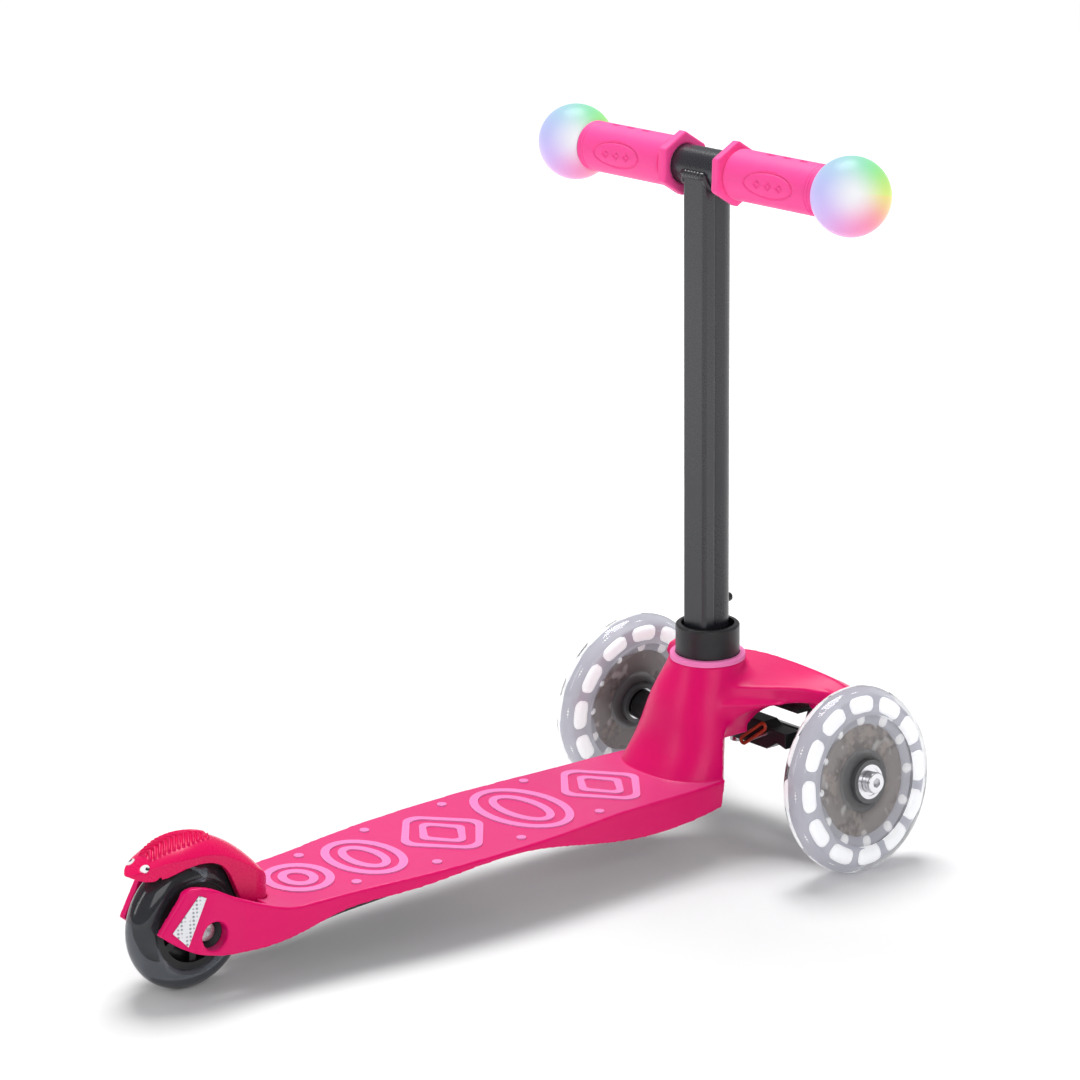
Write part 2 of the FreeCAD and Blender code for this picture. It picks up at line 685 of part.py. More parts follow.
BRACKET_NOSE_X = KING_X - BARREL_R - 3.0
BRACKET_BACK = -8.0       # rear and front faces, ahead of the front axle
BRACKET_FRONT = 5.0
BRACKET_Z = SOCKET_Z - 35.0  # underside, which hangs from the neck


def front_bracket():
    """The black block ahead of the nose of the body, between the two knuckles."""
    half = BRACKET_NOSE_X
    right = [(34, 0), (43, 6), (half, 4), (half, 14), (36, 14), (30, 17.5)]
    left = [(-x, z) for x, z in reversed(right)]
    face = Part.Face(polygon([Vector(x, Y_FRONT + BRACKET_BACK, BRACKET_Z + z) for x, z in right + left]))
    body = face.extrude(AHEAD * (BRACKET_FRONT - BRACKET_BACK))
    post = block(-8, 8, Y_FRONT + BRACKET_BACK, Y_FRONT + BRACKET_FRONT, BRACKET_Z + 14, SOCKET_Z)
    upper = block(-half, half, Y_FRONT + 2, Y_FRONT + 20, BRACKET_Z + 26, BRACKET_Z + 29.5)
    stalk = block(-8, 8, Y_FRONT + 2, Y_FRONT + 14, BRACKET_Z + 26, SOCKET_Z)
    return fuse(body, post, upper, stalk).cut(rod(2.5, bracket_bolt_place(), UP, 60))


def bracket_bolt_place():
    """The bolt that hangs the bracket from the underside of the neck."""
    return Vector(0, Y_FRONT + (BRACKET_BACK + BRACKET_FRONT) / 2, BRACKET_Z - 2)


def bracket_bolt():
    place = bracket_bolt_place()
    shaft = rod(2.5, place + UP * 2, UP, SOCKET_Z + 8 - place.z)
    return fuse(shaft, socket_head(4.5, 4.0, place + UP * 2, UP * -1))


def steering_bands():
    """Two red rubber bands behind the bracket that pull the steering straight."""
    bands = []
    wires = []
    for side in (1, -1):
        start = Vector(side * 12, Y_FRONT + BRACKET_BACK - 2.2, BRACKET_Z + 2.0)
        end = Vector(side * 35, Y_FRONT + BRACKET_BACK - 2.2, BRACKET_Z + 14.5)
        direction = (end - start).normalize()
        length = (end - start).Length
        bands.append(rod(2.2, start, direction, length))
        wires.append(rod(0.8, start - UP * 3.6 + AHEAD * 1.4, direction, length))
    return bands, wires


# ---- stem ----------------------------------------------------------------
TUBE_HALF = 10.0          # half width of the T-bar's tube, and radius of its round front
BACK_Y = -12.8            # flat back of the tube
WALL = 1.9


def tube_outline(grow):
    """Section of the T-bar's tube: a box behind, a round part in front, a groove between."""
    box = block(-TUBE_HALF - grow, TUBE_HALF + grow, BACK_Y - grow, -2.2 + grow, 0, 1)
    upright = [edge for edge in box.Edges if abs(edge.tangentAt(edge.FirstParameter).z) > 0.9]
    box = box.makeFillet(2.4, upright)
    front = Part.makeCylinder(TUBE_HALF + grow, 1, Vector(0, ROUND_Y, 0))
    return box, front


def stem_prism(grow, low_z, high_z):
    """The tube's outer section between two heights, along the leaning axis."""
    start = stem_point(low_z)
    length = (high_z - low_z) / STEM_DIR.z
    pieces = []
    for piece in tube_outline(grow):
        piece = piece.copy()
        matrix = FreeCAD.Matrix()
        matrix.A33 = length
        pieces.append(piece.transformGeometry(matrix))
    solid = fuse(*pieces)
    return lean(solid, start)


def lean(solid, start):
    """Tip a solid built along Z back along the stem, keeping its flat back to the rear."""
    solid = solid.copy()
    tilt = FreeCAD.Rotation(ACROSS, STEM_LEAN)
    solid.Placement = FreeCAD.Placement(start, tilt).multiply(solid.Placement)
    return solid


BORE_R = INNER_R + RUN
CROSS_R = 12.5
CROSS_HALF = BAR_HALF - 13.0
CROSS_AT = stem_point(BAR_Z)
BUTTON_Z = COLLAR_Z + 13.0
BUTTON_R = 3.0


def button_point():
    """The button's axis where it meets the middle of the round front."""
    return round_point(BUTTON_Z)


BUTTON_DIR = Vector(0, math.cos(math.radians(STEM_LEAN)), math.sin(math.radians(STEM_LEAN)))


def stem_tube():
    body = stem_prism(0, STOP_Z, BAR_Z - 1)
    hollow = block(-TUBE_HALF + WALL, TUBE_HALF - WALL, BACK_Y + WALL, -5.2, 0, 400)
    body = body.cut(lean(hollow, stem_point(STOP_Z - 20)))
    body = body.cut(rod(BORE_R, round_point(STOP_Z - 20), STEM_DIR, 400))
    body = body.cut(rod(CROSS_R, CROSS_AT - ACROSS * 40, ACROSS, 80))
    return body.cut(rod(BUTTON_R + RUN, button_point(), BUTTON_DIR, 20))


def cross_tube():
    length = 2 * CROSS_HALF
    return ring(CROSS_R, CROSS_R - 2.0, CROSS_AT - ACROSS * CROSS_HALF, ACROSS, length)


def weld_bead():
    """The raised bead where the upright tube meets the cross tube."""
    bead = stem_prism(1.6, BAR_Z - 11.0, BAR_Z - 1.5)
    bead = bead.cut(stem_prism(0, BAR_Z - 20, BAR_Z + 5))
    bead = bead.cut(rod(CROSS_R, CROSS_AT - ACROSS * 40, ACROSS, 80))
    return bead.cut(ring(CROSS_R + 30, CROSS_R + 2.4, CROSS_AT - ACROSS * 40, ACROSS, 80))


def inner_tube():
    start = round_point(TUBE_END_Z)
    top_z = BAR_Z - 41
    length = (top_z - TUBE_END_Z) / STEM_DIR.z
    body = ring(INNER_R, INNER_R - 1.6, start, STEM_DIR, length)
    slot_low = BUTTON_Z - BUTTON_R - 2
    slot_high = BUTTON_Z + LIFT + BUTTON_R + 2
    slot = block(-BUTTON_R - 0.4, BUTTON_R + 0.4, 0, 20, 0, (slot_high - slot_low) / STEM_DIR.z)
    return body.cut(lean(slot, round_point(slot_low)))


TUBE_BOLT_R = 3.3


def stem_plug():
    """The threaded plug in the foot of the inner tube."""
    return ring(INNER_R - 1.6, TUBE_BOLT_R, round_point(TUBE_END_Z), STEM_DIR, 22)


def stem_bolt():
    """The bolt that draws the inner tube down into its boss."""
    start = round_point(TUBE_END_Z - 4)
    shaft = rod(TUBE_BOLT_R, start, STEM_DIR, 24)
    return fuse(shaft, socket_head(6.5, 5.0, start, STEM_DIR * -1))


def collar():
    body = rod(SPIGOT_R, stem_point(STOP_Z - 3), STEM_DIR, (NECK_TOP_Z - STOP_Z + 3) / STEM_DIR.z + 1)
    flange = rod(COLLAR_R, stem_point(NECK_TOP_Z - 3), STEM_DIR, (COLLAR_Z - NECK_TOP_Z + 3) / STEM_DIR.z)
    rims = [edge for edge in flange.Edges if edge.Curve.TypeId == "Part::GeomCircle"]
    top = max(rims, key=lambda edge: edge.CenterOfMass.z)
    flange = flange.makeFillet(1.6, [top])
    body = fuse(body, flange)
    body = body.cut(stem_prism(GAP, STOP_Z - GAP, COLLAR_Z + 20))
    body = body.cut(rod(INNER_R, round_point(STOP_Z - 20), STEM_DIR, 60))
    return body.cut(rod(COLLAR_R - 3.4, stem_point(COLLAR_Z - 9), STEM_DIR, 30))


def neck_ring():
    start = stem_point(NECK_TOP_Z - 3)
    band = ring(NECK_TOP_R + 0.4, COLLAR_R + 0.3, start, STEM_DIR, 3.6)
    rims = [edge for edge in band.Edges if edge.Curve.TypeId == "Part::GeomCircle"
            and edge.Curve.Radius > COLLAR_R + 1]
    top = max(rims, key=lambda edge: edge.CenterOfMass.z)
    return band.makeFillet(1.2, [top])


# ---- snap button ---------------------------------------------------------
def snap_button():
    """A spring-loaded button whose tip runs in the slot of the inner tube."""
    tip = INNER_R - 1.2
    outside = TUBE_HALF
    stem = rod(BUTTON_R, button_point() + BUTTON_DIR * tip, BUTTON_DIR, outside - tip + 3.4)
    crown = Part.makeSphere(BUTTON_R, button_point() + BUTTON_DIR * (outside + 3.4))
    keep = rod(BUTTON_R + 1, button_point() + BUTTON_DIR * (outside + 1), BUTTON_DIR, 3.9)
    return fuse(stem, crown.common(keep))


# ---- grips and lights ----------------------------------------------------
GRIP_IN = 20.5
GRIP_OUT = BAR_HALF - 17.6
GRIP_R = 16.0


def grip():
    start = CROSS_AT + ACROSS * GRIP_IN
    flange = hexagon(35.5, start, ACROSS, 6.5)
    flange = flange.common(rod(19.4, start, ACROSS, 6.5))
    flange.rotate(CROSS_AT, ACROSS, 30)
    waist = rod(GRIP_R - 1.6, start + ACROSS * 6, ACROSS, 4)
    barrel = rod(GRIP_R, start + ACROSS * 9.0, ACROSS, GRIP_OUT - GRIP_IN - 9.0)
    body = fuse(flange, waist, barrel)
    for x in (GRIP_OUT - 6.0, GRIP_OUT - 3.5):
        body = body.cut(ring(GRIP_R + 5, GRIP_R - 0.6, CROSS_AT + ACROSS * x, ACROSS, 1.0))
    for k in range(3):
        x = GRIP_IN + 32 + 14 * k
        notch = block(x, x + 7, -1.4, 1.4, GRIP_R - 1.0, GRIP_R + 2)
        notch.translate(CROSS_AT)
        body = body.cut(notch)
    panel = Part.Ellipse(ORIGIN, 21.0, 8.2).toShape()
    inner = Part.Ellipse(ORIGIN, 20.2, 7.4).toShape()
    line = Part.Face(Part.Wire(panel)).cut(Part.Face(Part.Wire(inner)))
    line.rotate(ORIGIN, ACROSS, 90)
    line.translate(CROSS_AT + Vector((GRIP_IN + GRIP_OUT) / 2 + 5, 0, 0))
    trench = line.extrude(AHEAD * -40).cut(rod(GRIP_R - 0.6, CROSS_AT, ACROSS, 200))
    body = body.cut(trench)
    return body.cut(rod(CROSS_R, CROSS_AT, ACROSS, 200))


def light_ball():
    centre = CROSS_AT + ACROSS * BAR_HALF
    shell = Part.makeSphere(BALL_R, centre).cut(Part.makeSphere(BALL_R - 2.2, centre))
    keep = block(GRIP_OUT + 0.2, BAR_HALF + BALL_R + 5, -60, 60, -60, 60)
    keep.translate(CROSS_AT)
    return shell.common(keep)


def light_base():
    """The disc that closes the ball and plugs into the end of the cross tube."""
    mouth = math.sqrt((BALL_R - 2.2) ** 2 - (BAR_HALF - GRIP_OUT - 4.2) ** 2)
    disc = rod(mouth - 1.6, CROSS_AT + ACROSS * (CROSS_HALF + 0.1), ACROSS, 2.4)
    plug = ring(CROSS_R - 2.0, CROSS_R - 3.6, CROSS_AT + ACROSS * (CROSS_HALF - 24), ACROSS, 24.1)
    neck_disc = rod(CROSS_R, CROSS_AT + ACROSS * (CROSS_HALF), ACROSS, 1)
    return fuse(disc, plug, neck_disc)


def light_board():
    return rod(11.0, CROSS_AT + ACROSS * (CROSS_HALF + 2.5), ACROSS, 1.2)


def light_leds():
    """Three small coloured lights on the board."""
    leds = []
    face = CROSS_AT + ACROSS * (CROSS_HALF + 3.7)
    for k in range(3):
        angle = math.radians(120 * k + 90)
        at = face + Vector(0, 5.5 * math.cos(angle), 5.5 * math.sin(angle))
        leds.append(rod(1.8, at, ACROSS, 3.0))
    return leds


# ---- brake ---------------------------------------------------------------
FENDER = [(391.5, 43), (392.5, 56), (400, 68.5), (414, 81.5), (430, 90.2), (446, 93.4), (462, 91.2),
          (475, 85.2), (WHEELBASE / SCALE_S + TAIL, 77.5)]
SKIRT = [(480, 75.0), (469, 75.5), (458, 79.0), (443, 80.3), (431, 76.0), (423, 64.0), (411, 43.0)]
SNOUT = [(17.5, 450), (15.8, 462), (11.5, 474), (6.0, 483), (0.0, 486.5)]
FOOT_PLAN = [(17.5, 414), (15.5, 401), (9.0, 393.5), (0.0, 391.5)]


def fender_plan(grow=0.0):
    """The fender seen from above, grown by a clearance on every side."""
    rear = [Vector(x + grow * x / BRAKE_HALF, station(s) - grow * (1 - x / BRAKE_HALF), 0) for x, s in SNOUT]
    foot = [Vector(x + grow * x / BRAKE_HALF, station(s) + grow * (1 - x / BRAKE_HALF), 0) for x, s in FOOT_PLAN]
    stretches = [foot, [foot[0], rear[0]], rear]
    flipped = [[Vector(-point.x, point.y, 0) for point in points] for points in stretches]
    return outline(*stretches, *flipped)


def fender_section(x):
    """Side outline of the fender in a plane at x: lower and shorter towards its sides."""
    drop = 8.0 * (abs(x) / BRAKE_HALF) ** 2.4
    foot = PIN_Z - 43.0
    top = []
    for k, (s, z) in enumerate(FENDER):
        weight = min(k / 3.0, 1.0) if k < len(FENDER) - 1 else 0.2
        top.append(Vector(x, station(s), z + foot - drop * weight))
    under = [Vector(x, station(s), z + foot) for s, z in SKIRT]
    edges = [curve(top), Part.makeLine(top[-1], under[0]), curve(under), Part.makeLine(under[-1], top[0])]
    return Part.Wire(edges)


def brake_fender():
    widths = [-BRAKE_HALF, -BRAKE_HALF * 0.72, -BRAKE_HALF * 0.3, BRAKE_HALF * 0.3, BRAKE_HALF * 0.72,
              BRAKE_HALF]
    body = Part.makeLoft([fender_section(x) for x in widths], True, False)
    body = body.fuse(rod(FOOT_R, Vector(-BRAKE_HALF, station(PIN_S), PIN_Z), ACROSS, 2 * BRAKE_HALF))
    body = body.common(fender_plan().extrude(UP * 120))
    axle = Vector(0, Y_REAR, REAR_R)
    room = REAR_W / 2 + 2.0
    body = body.cut(rod(REAR_R + BRAKE_ROOM, axle - ACROSS * room, ACROSS, 2 * room))
    return body.cut(rod(2.0 + RUN, Vector(-40, station(PIN_S), PIN_Z), ACROSS, 80))


def eyes(fender):
    """Two pegs for the eyes, set flush into the sides of the fender near its tip."""
    pegs = []
    for side in (1, -1):
        at = Vector(side * 5.2, station(476.5), PIN_Z + 36.0)
        out = Vector(side * 0.45, -0.35, 0.82)
        pegs.append(rod(2.7, at, out, 12.0).common(fender))
    return pegs


def brake_pad():
    """The steel shoe under the fender that is pressed onto the tyre."""
    axle = Vector(0, Y_REAR, REAR_R)
    width = REAR_W - 4.0
    start = axle - ACROSS * (width / 2)
    shoe = ring(REAR_R + BRAKE_ROOM, REAR_R + 2.6, start, ACROSS, width)
    keep = block(-width, width, Y_REAR - 7, Y_REAR + 7, REAR_R + 10, REAR_R + 60)
    return shoe.common(keep)


def brake_pin():
    return rod(2.0, Vector(-PIN_HALF, station(PIN_S), PIN_Z), ACROSS, 2 * PIN_HALF)


# ---- under the deck ------------------------------------------------------
RAIL_HALF = 28.0
RAIL = [(232, 45.6), (267, 45.0), (314, 40.2), (358, 37.5), (390, 31.5)]


def under_rail():
    """The dark stiffening rail screwed under the rear half of the deck."""
    top = [Vector(0, station(s), z + 2.0) for s, z in RAIL]
    low = [Vector(0, station(s), z - 7.0) for s, z in RAIL]
    side = outline(top, [top[-1], low[-1]], low, [low[0], top[0]])
    side.translate(ACROSS * -RAIL_HALF)
    return side.extrude(ACROSS * (2 * RAIL_HALF))


def rail_screws():
    return [(x, s) for s in (250, 300, 350) for x in (-16, 16)]


# ---- write every node ----------------------------------------------------
rail = under_rail()
shell = deck_shell().cut(rail)
for x, s in rail_screws():
    rail = rail.cut(rod(1.6, Vector(x, station(s), 20), UP, 40))
save("deck_shell", shell)
save("deck_pattern", *deck_pattern())
save("under_rail", rail)
screws = []
for x, s in rail_screws():
    screws.append(rod(1.6, Vector(x, station(s), 33), UP, 10))
save("rail_screws", *screws)
pair("reflectors", reflector_plate())
save("neck_ring", neck_ring())
save("stem_collar", collar())
save("inner_tube", inner_tube())
save("stem_plug", stem_plug())
save("stem_bolt", stem_bolt())
save("stem_tube", stem_tube())
save("cross_tube", cross_tube())
save("weld_bead", weld_bead())
save("snap_button", snap_button())
each_side("grip", grip())
each_side("light_ball", light_ball())
pair("light_bases", light_base())
pair("light_boards", light_board())
pair("light_leds", *light_leds())
front_wheel()
rear_wheel()
each_side("knuckle", knuckle())
each_side("kingpin_bushes", *kingpin_bushes())
pair("kingpins", kingpin())
each_side("front_axle", front_axle())
each_side("tie_pin", tie_pin())
save("tie_rod", tie_rod())
save("front_bracket", front_bracket().cut(shell))
save("bracket_bolt", bracket_bolt())
red_bands, wires = steering_bands()
save("steering_bands", *red_bands)
save("band_wires", *wires)
fender = brake_fender()
eye_pegs = eyes(fender)
save("brake_fender", fender.cut(eye_pegs[0]).cut(eye_pegs[1]))
save("brake_pad", brake_pad())
save("brake_eyes", *eye_pegs)
save("brake_pin", brake_pin())
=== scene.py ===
"""Looks for a three-wheeled kick scooter for a small child, laid out as a Blender add-on.

Lengths are metres unless a name ends in _MM. X is the rider's right, Y is forward, Z is up.
"""

import bmesh
import bpy
import json
import math
import numpy as np
from bpy.props import FloatProperty, FloatVectorProperty, IntProperty, PointerProperty
from bpy.types import Operator, Panel, PropertyGroup
from mathutils import Matrix, Vector
from mathutils.bvhtree import BVHTree


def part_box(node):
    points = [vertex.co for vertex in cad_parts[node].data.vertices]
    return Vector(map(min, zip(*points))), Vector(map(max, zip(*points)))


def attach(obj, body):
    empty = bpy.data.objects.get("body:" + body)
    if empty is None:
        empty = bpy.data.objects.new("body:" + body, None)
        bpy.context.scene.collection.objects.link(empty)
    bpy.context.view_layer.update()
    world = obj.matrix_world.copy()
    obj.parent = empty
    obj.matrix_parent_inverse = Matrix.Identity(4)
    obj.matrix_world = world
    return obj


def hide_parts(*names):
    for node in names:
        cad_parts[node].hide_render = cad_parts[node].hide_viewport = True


bl_info = {
    "name": "Child's Kick Scooter",
    "version": (1, 0, 0),
    "blender": (4, 5, 0),
    "location": "3D View > Sidebar > Scooter",
    "description": "Builds the moulded, rubber, clear and metal pieces of a three-wheeled scooter",
    "category": "Object",
}

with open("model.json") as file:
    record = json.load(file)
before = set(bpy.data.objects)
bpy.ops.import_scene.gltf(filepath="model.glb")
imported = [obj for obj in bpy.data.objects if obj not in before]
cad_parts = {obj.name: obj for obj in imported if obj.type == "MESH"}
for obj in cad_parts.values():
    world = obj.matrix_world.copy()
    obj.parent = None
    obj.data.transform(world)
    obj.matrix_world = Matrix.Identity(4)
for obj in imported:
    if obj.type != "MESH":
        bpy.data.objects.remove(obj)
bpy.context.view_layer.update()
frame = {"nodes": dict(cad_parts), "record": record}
MM = 0.001
SIDES = (("right", 1), ("left", -1))


# ---- places taken from the frame ------------------------------------------
def joint(name):
    """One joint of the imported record, by name."""
    for entry in frame["record"]["behaviour"]["joints"]:
        if entry["name"] == name:
            return entry
    raise RuntimeError("the frame has no joint named " + name)


def middle(node):
    low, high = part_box(node)
    return (low + high) / 2


FRONT_HUB = Vector(joint("front_right_spin")["pos_m"])
FRONT_AXLE = Vector(joint("front_right_spin")["axis"])
REAR_HUB = Vector(joint("rear_spin")["pos_m"])
REAR_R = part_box("rear_tyre")[1].z - REAR_HUB.z
FRONT_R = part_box("front_tyre_right")[1].y - FRONT_HUB.y
BAR = middle("cross_tube")
BAR_R = (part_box("cross_tube")[1].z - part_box("cross_tube")[0].z) / 2


# ---- values a user may change ---------------------------------------------
class ScooterSizes(PropertyGroup):
    deck_mesh: FloatProperty(
        name="Deck mesh", description="Spacing of the deck moulding's mesh",
        default=0.0010, min=0.0008, subtype="DISTANCE", unit="LENGTH")
    small_mesh: FloatProperty(
        name="Small part mesh", description="Spacing of the mesh on small moulded parts",
        default=0.0005, min=0.0004, subtype="DISTANCE", unit="LENGTH")
    grip_mesh: FloatProperty(
        name="Grip mesh", description="Spacing of the mesh on the grips",
        default=0.00045, min=0.0003, subtype="DISTANCE", unit="LENGTH")
    wheel_segments: IntProperty(
        name="Wheel segments", description="Steps round a wheel", default=144, min=48)
    light_segments: IntProperty(
        name="Light segments", description="White light segments in a front wheel", default=12, min=6)
    crest_ribs: IntProperty(
        name="Crest ribs", description="Ribs across the brake's crest", default=13, min=3)
    crest_height: FloatProperty(
        name="Crest height", description="How far the brake's ribs stand out",
        default=0.0015, min=0.0, subtype="DISTANCE", unit="LENGTH")


def colour(label, text, default):
    return FloatVectorProperty(name=label, description=text, default=default, min=0.0, max=1.0,
                               size=3, subtype="COLOR")


class ScooterColours(PropertyGroup):
    deck: colour("Deck", "Moulded deck, neck and wings", (0.800, 0.000, 0.140))
    # The deck top colour is a painted sheen: the standing surface, where it looks up, is drawn paler than the
    # sides.
    deck_top_sheen: colour("Deck top", "The satin standing surface", (0.780, 0.045, 0.215))
    pattern: colour("Pattern", "Raised grip pattern and neck ring", (1.000, 0.235, 0.560))
    grip: colour("Grip", "Soft rubber of the grips", (0.950, 0.060, 0.315))
    brake: colour("Brake", "Glossy moulding of the brake", (0.780, 0.000, 0.100))
    stem: colour("Stem", "Powder coat of the T-bar", (0.018, 0.019, 0.024))
    black: colour("Black", "Black moulded parts", (0.016, 0.016, 0.018))
    band: colour("Bands", "Rubber bands of the steering", (0.520, 0.035, 0.010))
    clear: colour("Clear", "Clear moulding of the front wheels", (0.930, 0.940, 0.955))
    smoky: colour("Smoky", "Dark clear rear tyre", (0.100, 0.108, 0.125))


def sizes():
    return bpy.context.scene.scooter_sizes


def colours():
    return bpy.context.scene.scooter_colours


# ---- mesh helpers ----------------------------------------------------------
def linked(obj):
    bpy.context.scene.collection.objects.link(obj)
    return obj


def mesh_object(name, verts, faces):
    """A new smooth-shaded object from points and faces."""
    mesh = bpy.data.meshes.new(name)
    mesh.from_pydata([tuple(v) for v in verts], [], [tuple(f) for f in faces])
    mesh.validate()
    mesh.shade_smooth()
    return linked(bpy.data.objects.new(name, mesh))


def face_outwards(obj):
    """Make all faces of a closed mesh look outwards."""
    work = bmesh.new()
    work.from_mesh(obj.data)
    bmesh.ops.recalc_face_normals(work, faces=work.faces)
    work.to_mesh(obj.data)
    work.free()
    return obj


def settle_modifiers(obj):
    """Turn what an object's modifiers make into its own mesh."""
    bpy.context.view_layer.update()
    graph = bpy.context.evaluated_depsgraph_get()
    mesh = bpy.data.meshes.new_from_object(obj.evaluated_get(graph))
    obj.modifiers.clear()
    obj.data = mesh
    return obj


def merged(meshes):
    """A bmesh that holds copies of several meshes."""
    work = bmesh.new()
    for mesh in meshes:
        work.from_mesh(mesh)
    return work


def points_of(obj):
    flat = np.empty(len(obj.data.vertices) * 3, np.float64)
    obj.data.vertices.foreach_get("co", flat)
    return flat.reshape(-1, 3)


def normals_of(obj):
    flat = np.empty(len(obj.data.vertices) * 3, np.float32)
    obj.data.vertex_normals.foreach_get("vector", flat)
    return flat.reshape(-1, 3).astype(np.float64)


def set_points(obj, points):
    obj.data.vertices.foreach_set("co", points.astype(np.float32).ravel())
    obj.data.update()


def edge_ends(obj):
    """The first and the second vertex of every edge."""
    ends = np.empty(len(obj.data.edges) * 2, np.int64)
    obj.data.edges.foreach_get("vertices", ends)
    return ends.reshape(-1, 2).T


def towards_neighbours(points, a, b):
    """How far each point is from the mean of the points that the edges a-b join it to."""
    count = np.bincount(np.concatenate([a, b]), minlength=len(points))[:, None]
    total = np.zeros_like(points)
    for axis in range(3):
        total[:, axis] = np.bincount(a, points[b, axis], len(points))
        total[:, axis] += np.bincount(b, points[a, axis], len(points))
    return total / np.maximum(count, 1) - points


def relax(obj, passes, weight=1.0, keep_volume=False):
    """Move each vertex towards the mean of its neighbours, so that edges round off.

    keep_volume follows every step by a slightly longer one the other way, against shrinking.
    """
    a, b = edge_ends(obj)
    points = points_of(obj)
    weight = np.broadcast_to(np.asarray(weight, float).reshape(-1, 1), (len(points), 1))
    steps = (0.5, -0.52) if keep_volume else (0.5,)
    for _ in range(passes):
        for step in steps:
            points += step * weight * towards_neighbours(points, a, b)
    set_points(obj, points)


def moulded(name, spacing, passes, *nodes, added=None):
    """A soft-edged moulding with the shape of CAD nodes: evenly meshed, laid on them, then relaxed.

    added is one more closed mesh that the moulding takes in.
    """
    meshes = [frame["nodes"][node].data for node in nodes]
    if added:
        meshes.append(added.data)
    work = merged(meshes)
    mesh = bpy.data.meshes.new(name + "_form")
    work.to_mesh(mesh)
    work.free()
    form = linked(bpy.data.objects.new(name + "_form", mesh))
    if added:
        bpy.data.objects.remove(added)
    obj = linked(bpy.data.objects.new(name, mesh.copy()))
    even = obj.modifiers.new("even mesh", "REMESH")
    even.mode = "VOXEL"
    even.voxel_size = spacing
    settle_modifiers(obj)
    relax(obj, 4, keep_volume=True)
    laid = obj.modifiers.new("laid on the form", "SHRINKWRAP")
    laid.target = form
    laid.wrap_method = "NEAREST_SURFACEPOINT"
    settle_modifiers(obj)
    relax(obj, passes, keep_volume=True)
    bpy.data.objects.remove(form)
    obj.data.shade_smooth()
    return obj


def fill_hollows(obj, passes, weight):
    """Round inner corners only: lift each vertex that lies below the mean of its neighbours."""
    least = 0.01
    refresh = 12
    a, b = edge_ends(obj)
    chosen = np.flatnonzero(weight > least)
    inside = (weight[a] > least) & (weight[b] > least)
    place = np.full(len(weight), -1)
    place[chosen] = np.arange(len(chosen))
    a = place[a[inside]]
    b = place[b[inside]]
    points = points_of(obj)
    for turn in range(passes):
        if turn % refresh == 0:
            normal = normals_of(obj)[chosen]
        rise = (towards_neighbours(points[chosen], a, b) * normal).sum(axis=1)
        points[chosen] += normal * (np.clip(rise, 0, None) * weight[chosen] * 0.9)[:, None]
        if turn % refresh == refresh - 1:
            set_points(obj, points)
    set_points(obj, points)


def sink_under(obj, depth, node):
    """Lower a skin a little where a CAD node lies on it, so that the node shows."""
    work = merged([frame["nodes"][node].data])
    tree = BVHTree.FromBMesh(work)
    work.free()
    low, high = (np.array(corner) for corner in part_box(node))
    points = points_of(obj)
    normal = normals_of(obj)
    near = (points > low - 1 * MM) & (points < high + 1 * MM)
    for k in np.flatnonzero(near.all(axis=1)):
        if tree.find_nearest(Vector(points[k]), 0.6 * MM)[0] is not None:
            points[k] -= normal[k] * depth
    set_points(obj, points)


def ramp(values, low, high):
    """0 below low, 1 above high, smooth between."""
    t = np.clip((values - low) / (high - low), 0.0, 1.0)
    return t * t * (3 - 2 * t)


def grid_faces(rows, columns, close_rows=False):
    """Quads of a sheet of rows x columns points whose columns run round."""
    faces = []
    for i in range(rows if close_rows else rows - 1):
        for j in range(columns):
            here = i * columns
            there = (i + 1) % rows * columns
            faces.append((here + j, here + (j + 1) % columns, there + (j + 1) % columns, there + j))
    return faces


def lathe(name, profile, segments, closed=True):
    """A ring turned about Z from a profile of (radius, height) points."""
    angles = np.linspace(0, 2 * math.pi, segments, endpoint=False)
    verts = [(r * math.cos(a), r * math.sin(a), h) for r, h in profile for a in angles]
    return face_outwards(mesh_object(name, verts, grid_faces(len(profile), segments, closed)))


def turned(name, outline_mm, segments):
    """A ring with two like faces, from an outline of (radius, half width) points in millimetres."""
    half = [(r * MM, h * MM) for r, h in outline_mm]
    return lathe(name, half + [(r, -h) for r, h in reversed(half)], segments)


def arc(centre, radius, start, stop, steps):
    """Points of an arc in a profile, angles in degrees."""
    points = []
    for k in range(steps + 1):
        angle = math.radians(start + (stop - start) * k / steps)
        points.append((centre[0] + radius * math.cos(angle), centre[1] + radius * math.sin(angle)))
    return points


def bead(radius):
    """Points and faces of a small ball about the origin."""
    work = bmesh.new()
    bmesh.ops.create_uvsphere(work, u_segments=20, v_segments=12, radius=radius)
    verts = [v.co.copy() for v in work.verts]
    faces = [[v.index for v in f.verts] for f in work.faces]
    work.free()
    return verts, faces


def gather(name, parts):
    """One object from several lots of (points, faces)."""
    verts = []
    faces = []
    for more_verts, more_faces in parts:
        start = len(verts)
        verts += list(more_verts)
        faces += [[start + k for k in face] for face in more_faces]
    return mesh_object(name, verts, faces)


def tube_along(path, radius, sides=16, closed=True):
    """Points and faces of a round bead that follows a path; radius may be a list."""
    count = len(path)
    radii = radius if isinstance(radius, list) else [radius] * count
    verts = []
    for i, point in enumerate(path):
        before = path[i - 1] if closed or i else path[i]
        after = path[(i + 1) % count] if closed or i + 1 < count else path[i]
        along = (after - before).normalized()
        across = along.orthogonal() if i == 0 else last - along * last.dot(along)
        across.normalize()
        last = across
        other = along.cross(across)
        for j in range(sides):
            angle = 2 * math.pi * j / sides
            verts.append(point + radii[i] * (math.cos(angle) * across + math.sin(angle) * other))
    return verts, grid_faces(count, sides, closed)


def onto_axle(obj, centre, axle):
    """Move a mesh built about Z so that its Z axis lies along an axle."""
    turn = Vector((0, 0, 1)).rotation_difference(axle).to_matrix().to_4x4()
    obj.data.transform(Matrix.Translation(centre) @ turn)
    return obj


